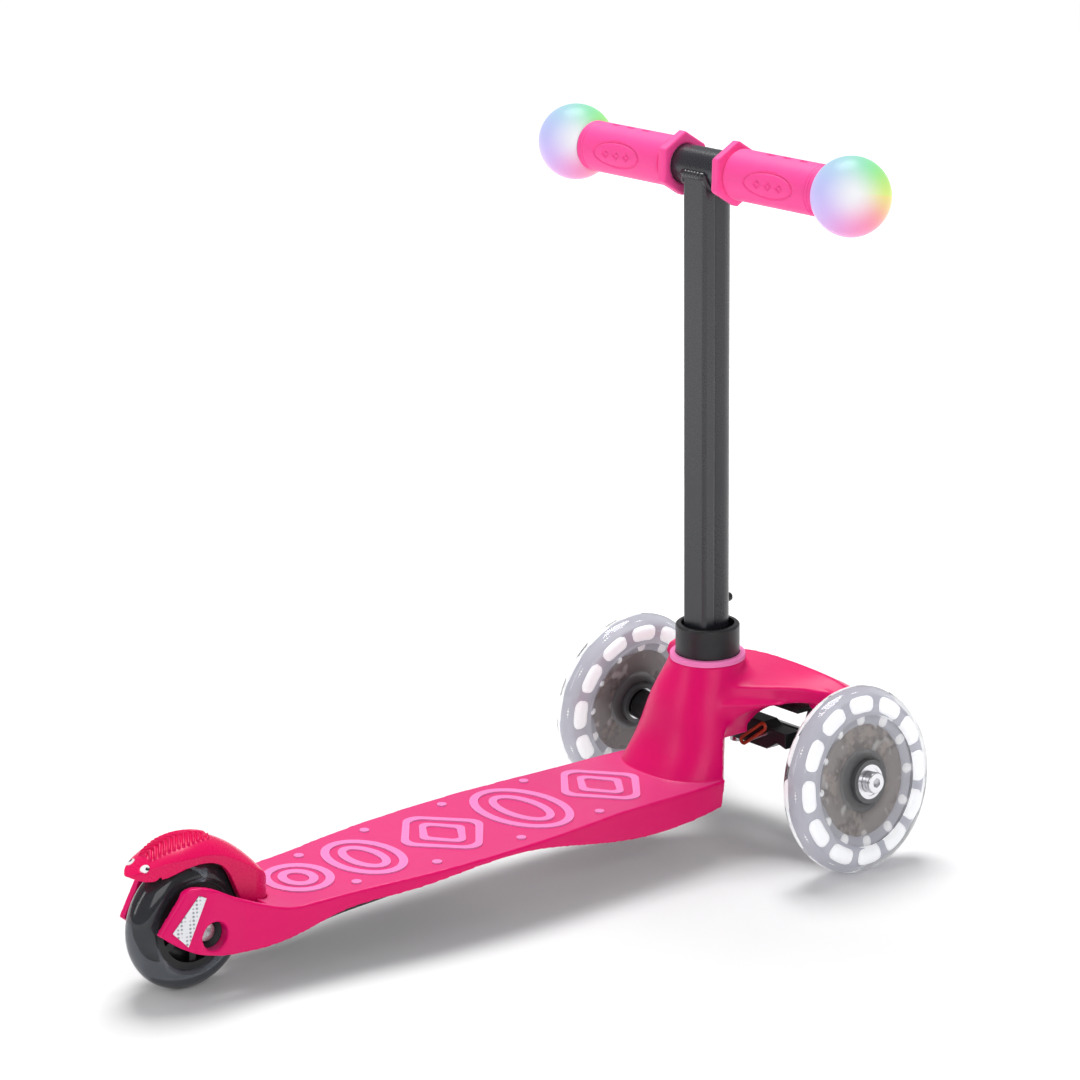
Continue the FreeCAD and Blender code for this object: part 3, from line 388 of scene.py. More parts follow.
def mirror_copy(obj, name):
    """A copy of an object on the other side of the scooter."""
    twin = linked(bpy.data.objects.new(name, obj.data.copy()))
    twin.data.name = name
    twin.data.transform(Matrix.Scale(-1, 4, (1, 0, 0)))
    twin.data.flip_normals()
    return twin


# ---- shader helpers ---------------------------------------------------------
class Graph:
    """Short ways to add and join shader nodes."""

    def __init__(self, tree):
        self.tree = tree

    def add(self, kind, inputs=None, **settings):
        node = self.tree.nodes.new("ShaderNode" + kind)
        for key, value in settings.items():
            setattr(node, key, value)
        for key, value in (inputs or {}).items():
            self.feed(node.inputs[key], value)
        return node

    def feed(self, socket, value):
        if isinstance(value, bpy.types.NodeSocket):
            self.tree.links.new(value, socket)
        elif isinstance(value, tuple) and len(value) == 3 and socket.type == "RGBA":
            socket.default_value = (*value, 1.0)
        else:
            socket.default_value = value

    def math(self, operation, a, b=0.0, c=0.0):
        node = self.add("Math", {0: a, 1: b, 2: c}, operation=operation)
        return node.outputs[0]

    def blend(self, factor, a, b):
        node = self.add("Mix", data_type="RGBA")
        self.feed(node.inputs[0], factor)
        self.feed(node.inputs[6], a)
        self.feed(node.inputs[7], b)
        return node.outputs[2]

    def spread(self, value, low, high, to_low=0.0, to_high=1.0):
        node = self.add("MapRange", {0: value, 1: low, 2: high, 3: to_low, 4: to_high},
                        interpolation_type="SMOOTHSTEP")
        return node.outputs[0]

    def noise(self, where, scale, detail=3.0, roughness=0.5):
        node = self.add("TexNoise", {"Vector": where, "Scale": scale, "Detail": detail,
                                     "Roughness": roughness})
        return node.outputs["Fac"]


def node_group(name, inputs, outputs):
    """A shader node group with named sockets; returns its tree, graph and ends."""
    tree = bpy.data.node_groups.new(name, "ShaderNodeTree")
    for label, kind, value in inputs:
        socket = tree.interface.new_socket(label, in_out="INPUT", socket_type="NodeSocket" + kind)
        socket.default_value = (*value, 1.0) if kind == "Color" else value
    for label, kind in outputs:
        tree.interface.new_socket(label, in_out="OUTPUT", socket_type="NodeSocket" + kind)
    start = tree.nodes.new("NodeGroupInput")
    end = tree.nodes.new("NodeGroupOutput")
    return tree, Graph(tree), start.outputs, end.inputs


def skin_group():
    """Fine moulding grain with slow changes of tone, as on any moulded or coated surface."""
    tree, g, given, out = node_group(
        "Surface grain",
        [("Color", "Color", (0.5, 0.5, 0.5)), ("Roughness", "Float", 0.5), ("Scale", "Float", 900.0),
         ("Depth", "Float", 0.1), ("Tone", "Float", 0.05)],
        [("Color", "Color"), ("Roughness", "Float"), ("Normal", "Vector")])
    where = g.add("TexCoord").outputs["Object"]
    slow = g.noise(where, 28.0, 2.0)
    fine = g.noise(where, given["Scale"], 2.0, 0.6)
    swing = g.math("MULTIPLY_ADD", slow, 2.0, -1.0)
    value = g.math("MULTIPLY_ADD", swing, given["Tone"], 1.0)
    tinted = g.add("HueSaturation", {"Value": value, "Color": given["Color"]})
    g.feed(out["Color"], tinted.outputs[0])
    uneven = g.math("MULTIPLY_ADD", swing, 0.06, given["Roughness"])
    g.feed(out["Roughness"], g.math("MULTIPLY_ADD", g.math("SUBTRACT", fine, 0.5), 0.10, uneven))
    bump = g.add("Bump", {"Strength": given["Depth"], "Distance": 0.0004, "Height": fine})
    g.feed(out["Normal"], bump.outputs[0])
    return tree


def wear_and_highlight_group():
    """Paler, slightly rubbed edges, which on the stem and the front hub cone are also a painted highlight
    line: how far the rounded normal differs from the true one.
    """
    tree, g, given, out = node_group(
        "Edge wear and highlight",
        [("Color", "Color", (0.5, 0.5, 0.5)), ("Worn", "Color", (0.8, 0.8, 0.8)),
         ("Amount", "Float", 0.3), ("Width", "Float", 0.0012)],
        [("Color", "Color")])
    soft = g.add("Bevel", {"Radius": given["Width"]}, samples=4).outputs[0]
    hard = g.add("NewGeometry").outputs["Normal"]
    same = g.add("VectorMath", {0: soft, 1: hard}, operation="DOT_PRODUCT").outputs["Value"]
    edge = g.spread(same, 0.995, 0.90)
    where = g.add("TexCoord").outputs["Object"]
    patchy = g.spread(g.noise(where, 260.0, 3.0), 0.35, 0.65)
    mask = g.math("MULTIPLY", g.math("MULTIPLY", edge, given["Amount"]),
                  g.math("MULTIPLY_ADD", patchy, 0.6, 0.4))
    g.feed(out["Color"], g.blend(mask, given["Color"], given["Worn"]))
    return tree


def dust_group():
    """A trace of pale dust on faces that look up."""
    tree, g, given, out = node_group(
        "Settled dust",
        [("Color", "Color", (0.5, 0.5, 0.5)), ("Amount", "Float", 0.05)],
        [("Color", "Color")])
    facing = g.add("SeparateXYZ", {0: g.add("NewGeometry").outputs["Normal"]}).outputs["Z"]
    where = g.add("TexCoord").outputs["Object"]
    patchy = g.spread(g.noise(where, 70.0, 4.0, 0.7), 0.4, 0.75)
    mask = g.math("MULTIPLY", g.math("MULTIPLY", g.spread(facing, 0.3, 1.0), patchy), given["Amount"])
    g.feed(out["Color"], g.blend(mask, given["Color"], (0.80, 0.78, 0.76)))
    return tree


GROUP_MAKERS = {"Surface grain": skin_group, "Edge wear and highlight": wear_and_highlight_group, "Settled dust": dust_group}


def grouped(g, name, inputs):
    """Place a shared group in a material with this material's values."""
    tree = bpy.data.node_groups.get(name) or GROUP_MAKERS[name]()
    return g.add("Group", inputs, node_tree=tree).outputs


def principled(name):
    """A new material with its graph and its Principled shader."""
    mat = bpy.data.materials.new(name)
    mat.use_nodes = True
    return mat, Graph(mat.node_tree), mat.node_tree.nodes["Principled BSDF"]


def grained(g, shader, base, roughness, grain):
    """Give a shader the shared grain's roughness and bump; returns the colour with its grain."""
    scale, depth, tone = grain
    skin = grouped(g, "Surface grain", {"Color": base, "Roughness": roughness, "Scale": scale,
                                        "Depth": depth, "Tone": tone})
    g.feed(shader.inputs["Roughness"], skin["Roughness"])
    g.feed(shader.inputs["Normal"], skin["Normal"])
    return skin["Color"]


PLAIN_GRAIN = (900.0, 0.1, 0.05)      # scale, depth and change of tone


def material(name, shine, base, roughness, grain=PLAIN_GRAIN, worn=None, wear=0.0, dust=0.03):
    """A Principled material: base colour through grain, worn edges (on the stem and the front hub cone also a
    painted highlight line) and a trace of dust.

    shine holds plain values for the shader's own sockets; base is a colour or a function that
    makes a colour socket in the material's graph.
    """
    mat, g, shader = principled(name)
    tint = grained(g, shader, base(g) if callable(base) else tuple(base), roughness, grain)
    if wear:
        tint = grouped(g, "Edge wear and highlight", {"Color": tint, "Worn": worn or (0.8, 0.8, 0.8),
                                        "Amount": wear})["Color"]
    if dust:
        tint = grouped(g, "Settled dust", {"Color": tint, "Amount": dust})["Color"]
    g.feed(shader.inputs["Base Color"], tint)
    for socket, value in shine.items():
        g.feed(shader.inputs[socket], value)
    return mat


def calm_bounce(mat):
    """Keep a strong colour from tinting the paper under the scooter."""
    g = Graph(mat.node_tree)
    base = mat.node_tree.nodes["Principled BSDF"].inputs["Base Color"]
    tint = base.links[0].from_socket
    bounce = g.add("LightPath").outputs["Is Diffuse Ray"]
    g.feed(base, g.blend(bounce, tint, (0.36, 0.30, 0.32)))


def dress(obj, mat):
    obj.data.materials.clear()
    obj.data.materials.append(mat)


def wear_cad(mat, *nodes):
    """Give CAD nodes that stay visible their finish."""
    for node in nodes:
        dress(frame["nodes"][node], mat)


def place_piece(obj, body, mat, slot, *nodes):
    """Finish a piece: material, body it moves with, material slot (not used) and the CAD nodes it stands for.
    """
    dress(obj, mat)
    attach(obj, body)
    if nodes:
        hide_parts(*nodes)
    return obj


def steel(name="zinc_plated_steel", tone=0.60, roughness=0.28):
    return material(name, {"Metallic": 1.0}, (tone, tone, tone * 1.03), roughness,
                    grain=(1500.0, 0.08, 0.08), worn=(0.85, 0.85, 0.86), wear=0.5, dust=0.0)


def black_plastic(name="black_moulded_plastic", roughness=0.42):
    return material(name, {"Specular IOR Level": 0.35}, colours().black, roughness,
                    grain=(700.0, 0.22, 0.10), worn=(0.07, 0.07, 0.075), wear=0.4, dust=0.02)


# ---- deck -------------------------------------------------------------------
DECK_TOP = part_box("deck_pattern")[1].z - 0.9 * MM     # height of the level front part
DECK_FALL = 6.0 * MM                                  # how much lower it ends
LEVEL_Y = FRONT_HUB.y - 150 * MM
SLOPE_Y = FRONT_HUB.y - 386 * MM


def deck_height(y):
    return DECK_TOP - DECK_FALL * np.clip((LEVEL_Y - y) / (LEVEL_Y - SLOPE_Y), 0.0, 1.0)


def rim_half_width(points):
    """Half width of the standing surface at each point's place along the deck."""
    step = 4 * MM
    near = np.abs(points[:, 2] - deck_height(points[:, 1])) < 3 * MM
    bins = np.floor(points[:, 1] / step).astype(int)
    first = bins.min()
    widest = np.zeros(bins.max() - first + 1)
    np.maximum.at(widest, bins[near] - first, np.abs(points[near, 0]))
    middles = (np.arange(len(widest)) + first + 0.5) * step
    return np.interp(points[:, 1], middles, widest)


def arch_gussets():
    """Hollow-curved webs that carry the sides of the neck out to the underside of the wings."""
    inner_x = 31 * MM
    radius = 22 * MM
    top_z = 98 * MM
    depth = 24 * MM
    first_back = FRONT_HUB.y - 47 * MM
    last_back = FRONT_HUB.y - 15 * MM
    foremost = FRONT_HUB.y - 11 * MM
    rows = 14
    parts = []
    for side in (1, -1):
        verts = []
        for k in range(rows):
            angle = math.pi / 2 * k / (rows - 1)
            x = inner_x + radius * (1 - math.cos(angle))
            low = top_z - radius * (1 - math.sin(angle)) - 0.4 * MM
            high = top_z + 1 * MM
            back = first_back + (last_back - first_back) * (x - inner_x) / radius
            front = min(back + depth, foremost)
            verts += [Vector((side * x, y, z))
                      for y, z in ((back, low), (front, low), (front, high), (back, high))]
        faces = [(0, 1, 2, 3), tuple(4 * rows - 4 + k for k in (3, 2, 1, 0))] + grid_faces(rows, 4)
        parts.append((verts, faces))
    return face_outwards(gather("arch_gussets", parts))


def level_standing_surface(deck):
    """Lay the top of the deck exactly on its level and sloping stretches."""
    points = points_of(deck)
    lift = points[:, 2] - deck_height(points[:, 1])
    level = ramp(normals_of(deck)[:, 2], 0.55, 0.90) * (1 - ramp(np.abs(lift), 1.3 * MM, 2.2 * MM))
    level *= ramp(rim_half_width(points) - np.abs(points[:, 0]), 0.6 * MM, 3.5 * MM)
    level *= ramp(points[:, 1], SLOPE_Y, SLOPE_Y + 8 * MM)
    level *= 1 - ramp(points[:, 1], FRONT_HUB.y - 94 * MM, FRONT_HUB.y - 86 * MM)
    points[:, 2] -= level * lift
    set_points(deck, points)
    relax(deck, 2, 1 - level)


def deck_skin():
    """The whole deck moulding with rounded edges, smooth wings and a true standing surface."""
    deck = moulded("deck_moulding", sizes().deck_mesh, 10, "deck_shell", "deck_pattern", "reflectors",
                   added=arch_gussets())
    points = points_of(deck)
    out = np.abs(points[:, 0])
    wings = ramp(points[:, 2], 80 * MM, 92 * MM)
    wings *= ramp(points[:, 1], FRONT_HUB.y - 70 * MM, FRONT_HUB.y - 55 * MM)
    wings *= 1 - ramp(points[:, 2], 116 * MM, 120 * MM) * (1 - ramp(out, 26 * MM, 34 * MM))
    relax(deck, 26, wings, keep_volume=True)
    relax(deck, 8, wings * 0.5)
    points = points_of(deck)
    arch = ramp(points[:, 2], 66 * MM, 78 * MM) * (1 - ramp(points[:, 2], 108 * MM, 116 * MM))
    arch *= ramp(points[:, 1], FRONT_HUB.y - 78 * MM, FRONT_HUB.y - 68 * MM)
    arch *= ramp(out, 19 * MM, 23 * MM) * (1 - ramp(out, 44 * MM, 50 * MM))
    fill_hollows(deck, 120, arch)
    level_standing_surface(deck)
    sink_under(deck, 0.5 * MM, "reflectors")
    return deck


def axle_well():
    """A black liner in the hole of each fork arm, round the axle's head and nut."""
    outline_mm = [(17.4, 8.45), (24.0, 8.45), (24.0, 7.7), (18.2, 7.4), (18.2, 4.3), (17.4, 4.3)]
    count = 48
    parts = []
    for side in (1, -1):
        verts = [Vector((side * x * MM, REAR_HUB.y + r * MM * math.cos(2 * math.pi * j / count),
                         REAR_HUB.z + r * MM * math.sin(2 * math.pi * j / count)))
                 for x, r in outline_mm for j in range(count)]
        parts.append((verts, grid_faces(len(outline_mm), count, True)))
    return face_outwards(gather("axle_well", parts))


def deck_tone_with_painted_sheen(g):
    """Saturated sides, and a painted sheen on the standing surface: its low faces that look up are paler."""
    where = g.add("SeparateXYZ", {0: g.add("TexCoord").outputs["Object"]}).outputs
    up = g.add("SeparateXYZ", {0: g.add("NewGeometry").outputs["Normal"]}).outputs["Z"]
    low = g.spread(where["Z"], DECK_TOP + 4 * MM, DECK_TOP + 10 * MM, 1.0, 0.0)
    # painted sheen: low faces that look up blend towards the paler top colour
    top = g.math("MULTIPLY", g.spread(up, 0.80, 0.97), low)
    return g.blend(top, tuple(colours().deck), tuple(colours().deck_top_sheen))


def pattern_material():
    return material("raised_pattern", {"Specular IOR Level": 0.3}, colours().pattern, 0.5,
                    grain=(800.0, 0.2, 0.03), worn=(1.0, 0.5, 0.75), wear=0.3, dust=0.02)


def reflector_tone(g):
    """Rows of small prisms in a silvery plate."""
    where = g.add("TexCoord").outputs["Object"]
    cells = g.add("TexVoronoi", {"Vector": where, "Scale": 440.0, "Randomness": 0.0})
    dots = g.spread(cells.outputs["Distance"], 0.20, 0.45)
    return g.blend(dots, (0.30, 0.31, 0.34), (0.86, 0.86, 0.90))


class SCOOTER_OT_deck(Operator):
    """Mould the deck, its neck and wings, and dress the pieces fixed to it"""

    bl_idname = "scooter.deck"
    bl_label = "Deck"

    def execute(self, context):
        pink = material("deck_pink", {"Specular IOR Level": 0.22}, deck_tone_with_painted_sheen, 0.33,
                        grain=(1100.0, 0.10, 0.03), worn=(0.95, 0.06, 0.33), wear=0.2, dust=0.01)
        calm_bounce(pink)
        place_piece(deck_skin(), "deck", pink, "deck_pink", "deck_shell")
        wear_cad(pattern_material(), "deck_pattern", "neck_ring")
        prisms = material("prism_reflector", {"Coat Weight": 0.8, "Coat Roughness": 0.05},
                          reflector_tone, 0.22, grain=(1800.0, 0.6, 0.02), dust=0.0)
        wear_cad(prisms, "reflectors")
        rail = black_plastic("rail_plastic", 0.5)
        place_piece(axle_well(), "deck", rail, "black_plastic")
        wear_cad(rail, "under_rail", "rear_washers")
        wear_cad(steel(), "rail_screws", "rear_axle", "rear_nut", "brake_pin", "stem_bolt", "stem_plug")
        return {"FINISHED"}


# ---- stem and bar -----------------------------------------------------------
def powder_coat():
    # the paler worn edges of the powder coat are partly a painted highlight line along the tube's corners
    return material("powder_coat", {"Specular IOR Level": 0.55}, colours().stem, 0.28,
                    grain=(1300.0, 0.18, 0.05), worn=(0.22, 0.22, 0.23), wear=0.6, dust=0.01)


def weld_path():
    """Where the upright tube's outline meets the underside of the cross tube."""
    back = 12.8 * MM
    half = 10.0 * MM
    round_y = 5.0 * MM
    corner = 2.4 * MM
    outline = []
    for centre_y, centre_x, start, radius in (
            (-back + corner, half - corner, -90, corner), (round_y, 0.0, 0, half),
            (round_y, 0.0, 90, half), (-back + corner, -half + corner, 180, corner)):
        steps = 14 if radius == half else 4
        for k in range(steps + 1):
            angle = math.radians(start + 90 * k / steps)
            outline.append((centre_x + radius * math.cos(angle), centre_y + radius * math.sin(angle)))
    path = []
    for i, (x, y) in enumerate(outline):
        after_x, after_y = outline[(i + 1) % len(outline)]
        steps = max(1, round(math.hypot(after_x - x, after_y - y) / (0.9 * MM)))
        for k in range(steps):
            px = x + (after_x - x) * k / steps
            py = y + (after_y - y) * k / steps
            drop = math.sqrt(max(BAR_R ** 2 - py ** 2, (3 * MM) ** 2))
            path.append(BAR + Vector((px, py, -drop)))
    return path


def weld_seam():
    path = weld_path()
    radii = [(2.5 + 0.28 * math.sin(2.1 * k)) * MM for k in range(len(path))]
    return gather("weld_seam", [tube_along(path, radii)])


class SCOOTER_OT_stem(Operator):
    """Dress the telescopic T-bar and its collar, and run the weld under the cross tube"""

    bl_idname = "scooter.stem"
    bl_label = "Stem and bar"

    def execute(self, context):
        coat = powder_coat()
        wear_cad(coat, "stem_tube", "cross_tube")
        place_piece(weld_seam(), "t_bar", coat, "stem_black", "weld_bead")
        wear_cad(black_plastic("collar_plastic", 0.38), "stem_collar", "snap_button")
        wear_cad(steel("inner_tube_steel", 0.5, 0.3), "inner_tube")
        return {"FINISHED"}


# ---- grips ------------------------------------------------------------------
FLANGE_LONG = 6.5 * MM
WAIST_END = 9.0 * MM
FLANGE_FLAT = 17.75 * MM
GRIP_R = 16.0 * MM


def grip_radius(along, angle, length):
    """Radius of the grip at a place along it and an angle round it (0 is forward, 90 is up)."""
    third = (angle + math.pi / 6) % (math.pi / 3) - math.pi / 6
    hexagon = np.minimum(FLANGE_FLAT / np.cos(third), 20.1 * MM)
    flange = hexagon - 1.6 * MM * (1 - np.sqrt(np.clip(along / (1.6 * MM), 0, 1)))
    waist = GRIP_R - 1.7 * MM
    barrel = GRIP_R - 1.2 * MM * ramp(along, length - 1.2 * MM, length)
    low = ramp(along, FLANGE_LONG - 0.6 * MM, FLANGE_LONG + 0.4 * MM)
    high = ramp(along, WAIST_END - 0.8 * MM, WAIST_END + 0.4 * MM)
    radius = flange + (waist - flange) * low
    radius = radius + (barrel - radius) * high
    for back in (6.0, 3.5):
        near = np.abs(along - (length - back * MM)) / (0.8 * MM)
        radius = radius - 0.55 * MM * np.clip(1 - near ** 2, 0, 1)
    return radius


def grip_marks(along, angle, length):
    """Depth of the engraved oval, its row of lozenges, and the notches along the top."""
    side = (along - (length / 2 + 5 * MM)) / MM
    up = GRIP_R * np.sin(angle) / MM
    behind = np.cos(angle) < 0
    reach = np.sqrt((side / 20.6) ** 2 + (up / 7.8) ** 2)
    away = np.abs(reach - 1) * np.sqrt(side ** 2 + up ** 2) / np.maximum(reach, 0.05)
    depth = 1.1 * np.clip(1 - (away / 0.85) ** 2, 0, 1) * behind
    for k in (-1, 0, 1):
        lozenge = np.abs(side - 9.5 * k) / 3.6 + np.abs(up) / 3.0
        depth = depth + 0.9 * ramp(-lozenge, -1.1, -0.8) * ramp(lozenge, 0.35, 0.55) * behind
    across = GRIP_R * np.cos(angle) / MM
    for k in range(3):
        start = 32 + 14 * k
        notch = ramp(along / MM, start, start + 0.8) * (1 - ramp(along / MM, start + 6.2, start + 7))
        depth = depth + 1.9 * notch * (1 - ramp(np.abs(across), 1.6, 2.6)) * (np.sin(angle) > 0)
    return depth * MM


def grip_skin():
    """The right-hand grip, as one closed sleeve."""
    low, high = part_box("grip_right")
    length = high.x - low.x
    rows = round(length / sizes().grip_mesh)
    columns = round(2 * math.pi * GRIP_R / sizes().grip_mesh)
    along, angle = np.meshgrid(np.linspace(0, length, rows), np.arange(columns) / columns * 2 * math.pi,
                               indexing="ij")
    radius = grip_radius(along, angle, length) - grip_marks(along, angle, length)
    ends = [np.full(columns, BAR_R), np.full(columns, BAR_R + 1.2 * MM)]
    radius = np.vstack([ends[0], ends[1], radius, ends[1], ends[0]])
    place = np.concatenate([[0.4 * MM, 0.0], along[:, 0], [length, length - 0.4 * MM]])
    turn = angle[0]
    verts = [(low.x + place[i], BAR.y + radius[i, j] * math.cos(turn[j]),
              BAR.z + radius[i, j] * math.sin(turn[j]))
             for i in range(len(place)) for j in range(columns)]
    return face_outwards(mesh_object("grip_sleeve_right", verts, grid_faces(len(place), columns, True)))


class SCOOTER_OT_grips(Operator):
    """Mould both soft rubber grips"""

    bl_idname = "scooter.grips"
    bl_label = "Grips"

    def execute(self, context):
        rubber = material("grip_rubber", {"Specular IOR Level": 0.35, "Sheen Weight": 0.15,
                                          "Sheen Roughness": 0.4},
                          colours().grip, 0.55, grain=(900.0, 0.25, 0.03), worn=(1.0, 0.25, 0.5),
                          wear=0.25, dust=0.02)
        right = grip_skin()
        left = mirror_copy(right, "grip_sleeve_left")
        place_piece(right, "t_bar", rubber, "grip_pink", "grip_right")
        place_piece(left, "t_bar", rubber, "grip_pink", "grip_left")
        return {"FINISHED"}


# ---- light balls ------------------------------------------------------------
BALL_R = (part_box("light_ball_right")[1].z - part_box("light_ball_right")[0].z) / 2
BALL_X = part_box("light_ball_right")[1].x - BALL_R
GLOW_AXIS = Vector((0.80, -0.55, 0.24)).normalized()
GLOW_RIGHT = Vector((0.6578, 0.7530, 0.0)).normalized()
# colours of the glow round its axis, from the right side anticlockwise, as fractions of a turn
GLOW = [(0.00, (0.90, 0.95, 0.22)), (0.13, (0.20, 0.92, 0.24)), (0.27, (0.42, 0.80, 0.82)),
        (0.42, (0.52, 0.60, 1.00)), (0.60, (0.70, 0.52, 1.00)), (0.74, (0.98, 0.32, 0.66)),
        (0.88, (1.00, 0.24, 0.36)), (1.00, (0.90, 0.95, 0.22))]


def glow_tone(g, centre):
    """Rainbow colours round the ball, washed out to white in the middle."""
    where = g.add("TexCoord").outputs["Object"]
    from_centre = g.add("VectorMath", {0: where, 1: tuple(centre)}, operation="SUBTRACT").outputs[0]
    upwards = GLOW_AXIS.cross(GLOW_RIGHT)
    along = g.add("VectorMath", {0: from_centre, 1: tuple(GLOW_RIGHT / BALL_R)}, operation="DOT_PRODUCT")
    rise = g.add("VectorMath", {0: from_centre, 1: tuple(upwards / BALL_R)}, operation="DOT_PRODUCT")
    x = along.outputs["Value"]
    y = rise.outputs["Value"]
    turn = g.math("DIVIDE", g.math("ARCTAN2", y, x), 2 * math.pi)
    ramp_node = g.add("ValToRGB", {"Fac": g.math("FRACT", g.math("ADD", turn, 1.0))})
    stops = ramp_node.color_ramp.elements
    while len(stops) < len(GLOW):
        stops.new(0.5)
    for stop, (place, tone) in zip(stops, GLOW):
        stop.position = place
        stop.color = (*tone, 1.0)
    ramp_node.color_ramp.interpolation = "B_SPLINE"
    away = g.math("SQRT", g.math("ADD", g.math("MULTIPLY", x, x), g.math("MULTIPLY", y, y)))
    strength = g.spread(away, 0.0, 0.86, 0.0, 0.96)
    return g.blend(strength, (0.95, 0.96, 1.0), ramp_node.outputs["Color"])


def ball_material(name, centre):
    """A frosted shell lit from inside: dim as a surface, bright in its own colours."""
    mat, g, shader = principled(name)
    tone = grained(g, shader, glow_tone(g, centre), 0.34, (1400.0, 0.08, 0.02))
    g.feed(shader.inputs["Base Color"], g.blend(0.86, tone, (0.0, 0.0, 0.0)))
    g.feed(shader.inputs["Specular IOR Level"], 0.15)
    g.feed(shader.inputs["Emission Color"], tone)
    g.feed(shader.inputs["Emission Strength"], 0.80)
    return mat


def ball_skin():
    """The right-hand frosted shell, with a fine seam round its middle and a lip at the grip."""
    mouth = (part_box("light_ball_right")[0].x - BALL_X) / BALL_R
    start = math.degrees(math.acos(mouth))
    profile = []
    for angle in np.linspace(start, 0.25, 90):
        seam = 0.12 * MM * math.exp(-((angle - 90) / 0.9) ** 2)
        turn = math.radians(angle)
        profile.append(((BALL_R - seam) * math.sin(turn), (BALL_R - seam) * math.cos(turn)))
    inner = [(r * 0.91, h * 0.91) for r, h in reversed(profile)]
    inner[-1] = (profile[0][0] - 2.0 * MM, profile[0][1])
    obj = lathe("light_shell_right", profile + inner, sizes().wheel_segments)
    return onto_axle(obj, Vector((BALL_X, BAR.y, BAR.z)), Vector((1, 0, 0)))


class SCOOTER_OT_lights(Operator):
    """Make the glowing balls at the ends of the bar"""

    bl_idname = "scooter.lights"
    bl_label = "Light balls"

    def execute(self, context):
        right = ball_skin()
        left = mirror_copy(right, "light_shell_left")
        for obj, (name, side) in zip((right, left), SIDES):
            mat = ball_material("glowing_shell_" + name, Vector((side * BALL_X, BAR.y, BAR.z)))
            place_piece(obj, "t_bar", mat, "frosted_white", "light_ball_" + name)
        white = material("white_plastic", {}, (0.85, 0.85, 0.86), 0.4, dust=0.0)
        wear_cad(white, "light_bases")
        wear_cad(material("lamp_board", {}, (0.03, 0.2, 0.08), 0.45, dust=0.0), "light_boards")
        wear_cad(material("lamp", {"Coat Weight": 0.5}, (0.9, 0.9, 0.85), 0.2, dust=0.0), "light_leds")
        return {"FINISHED"}


# ---- front wheels -----------------------------------------------------------
def clear_material(name, tone, roughness, clearness):
    """Clear plastic: plain transmission, with a faint grain and haze."""
    return material(name, {"Transmission Weight": clearness, "IOR": 1.42}, tone, roughness,
                    grain=(500.0, 0.008, 0.02), dust=0.0)


def tyre_profile(radius, half, bore, lip):
    """Half-round tread, flat sides with a shallow step, and a rounded bore edge."""
    shoulder = radius - half
    right = arc((shoulder, 0), half, 90, 0, 20)
    sides = [(bore + lip, half - 0.8 * MM), (bore + lip + 1.2 * MM, half - 0.1 * MM)]
    upper = [(bore, half - 2.2 * MM), (bore + 0.6 * MM, half - 1.1 * MM)] + sides + right
    lower = [(r, -h) for r, h in reversed(upper[:-1])]
    return upper + lower


def light_segment(turn, inner, outer, half_angle, half_thick):
    """Points and faces of one soft-edged block that follows the wheel's curve."""
    rows = 22
    sides = 28
    mean = (inner + outer) / 2
    verts = []
    for i in range(rows):
        t = math.sin(math.pi * (i / (rows - 1) - 0.5))
        size = max((1 - abs(t) ** 5) ** 0.35, 0.05)
        angle = turn + half_angle * t
        for j in range(sides):
            a = 2 * math.pi * j / sides
            x = math.copysign(abs(math.cos(a)) ** 0.6, math.cos(a)) * (outer - inner) / 2 * size
            z = math.copysign(abs(math.sin(a)) ** 0.6, math.sin(a)) * half_thick * size
            verts.append(Vector(((mean + x) * math.cos(angle), (mean + x) * math.sin(angle), z)))
    faces = grid_faces(rows, sides)
    faces.append(tuple(reversed(range(sides))))
    faces.append(tuple((rows - 1) * sides + j for j in range(sides)))
    return verts, faces


def light_segments(count, inner, outer, half_thick):
    """The ring of white segments, with a small gap between neighbours."""
    half_angle = math.pi / count * 0.84
    return [light_segment(2 * math.pi * k / count, inner, outer, half_angle, half_thick)
            for k in range(count)]


def lamp_beads(count, radius, size, height):
    """Small domes in a ring on both faces."""
    parts = []
    verts, faces = bead(size)
    for k in range(count):
        angle = 2 * math.pi * k / count
        for side in (1, -1):
            at = Vector((radius * math.cos(angle), radius * math.sin(angle), side * height))
            parts.append(([v + at for v in verts], faces))
    return parts


def winding_tone(g):
    """Streaky wire and small parts on a dusky plate, seen through the clear disc."""
    where = g.add("TexCoord").outputs["Object"]
    streaks = g.spread(g.noise(where, 150.0, 3.0, 0.6), 0.38, 0.62)
    warm = g.blend(streaks, (0.17, 0.13, 0.115), (0.46, 0.37, 0.32))
    blotch = g.spread(g.noise(where, 55.0, 1.0), 0.42, 0.60)
    mixed = g.blend(blotch, warm, (0.34, 0.29, 0.265))
    spots = g.spread(g.noise(where, 95.0, 1.0), 0.60, 0.74)
    return g.blend(spots, mixed, (0.80, 0.76, 0.73))


# outlines of the parts inside a front wheel, as (radius, half width)
RING_MM = ((36.4, 3.6), (41.0, 4.6), (43.0, 5.8), (52.2, 5.4), (53.2, 4.4))
DISC_MM = ((14.2, 9.5), (24.0, 8.4), (35.0, 8.4), (38.0, 8.8), (41.8, 9.8))
PLATE_MM = ((16.0, 3.4), (35.4, 3.4), (36.4, 2.0))
CONE_MM = ((14.2, 9.2), (19.5, 7.2), (20.5, 6.0), (20.6, 4.6))


# A material with a small emission: painted light that keeps parts bright inside the clear front wheels.
def glowing(name, emission, strength, base, roughness, grain=PLAIN_GRAIN):
    return material(name, {"Emission Color": emission, "Emission Strength": strength}, base, roughness,
                    grain=grain, dust=0.0)


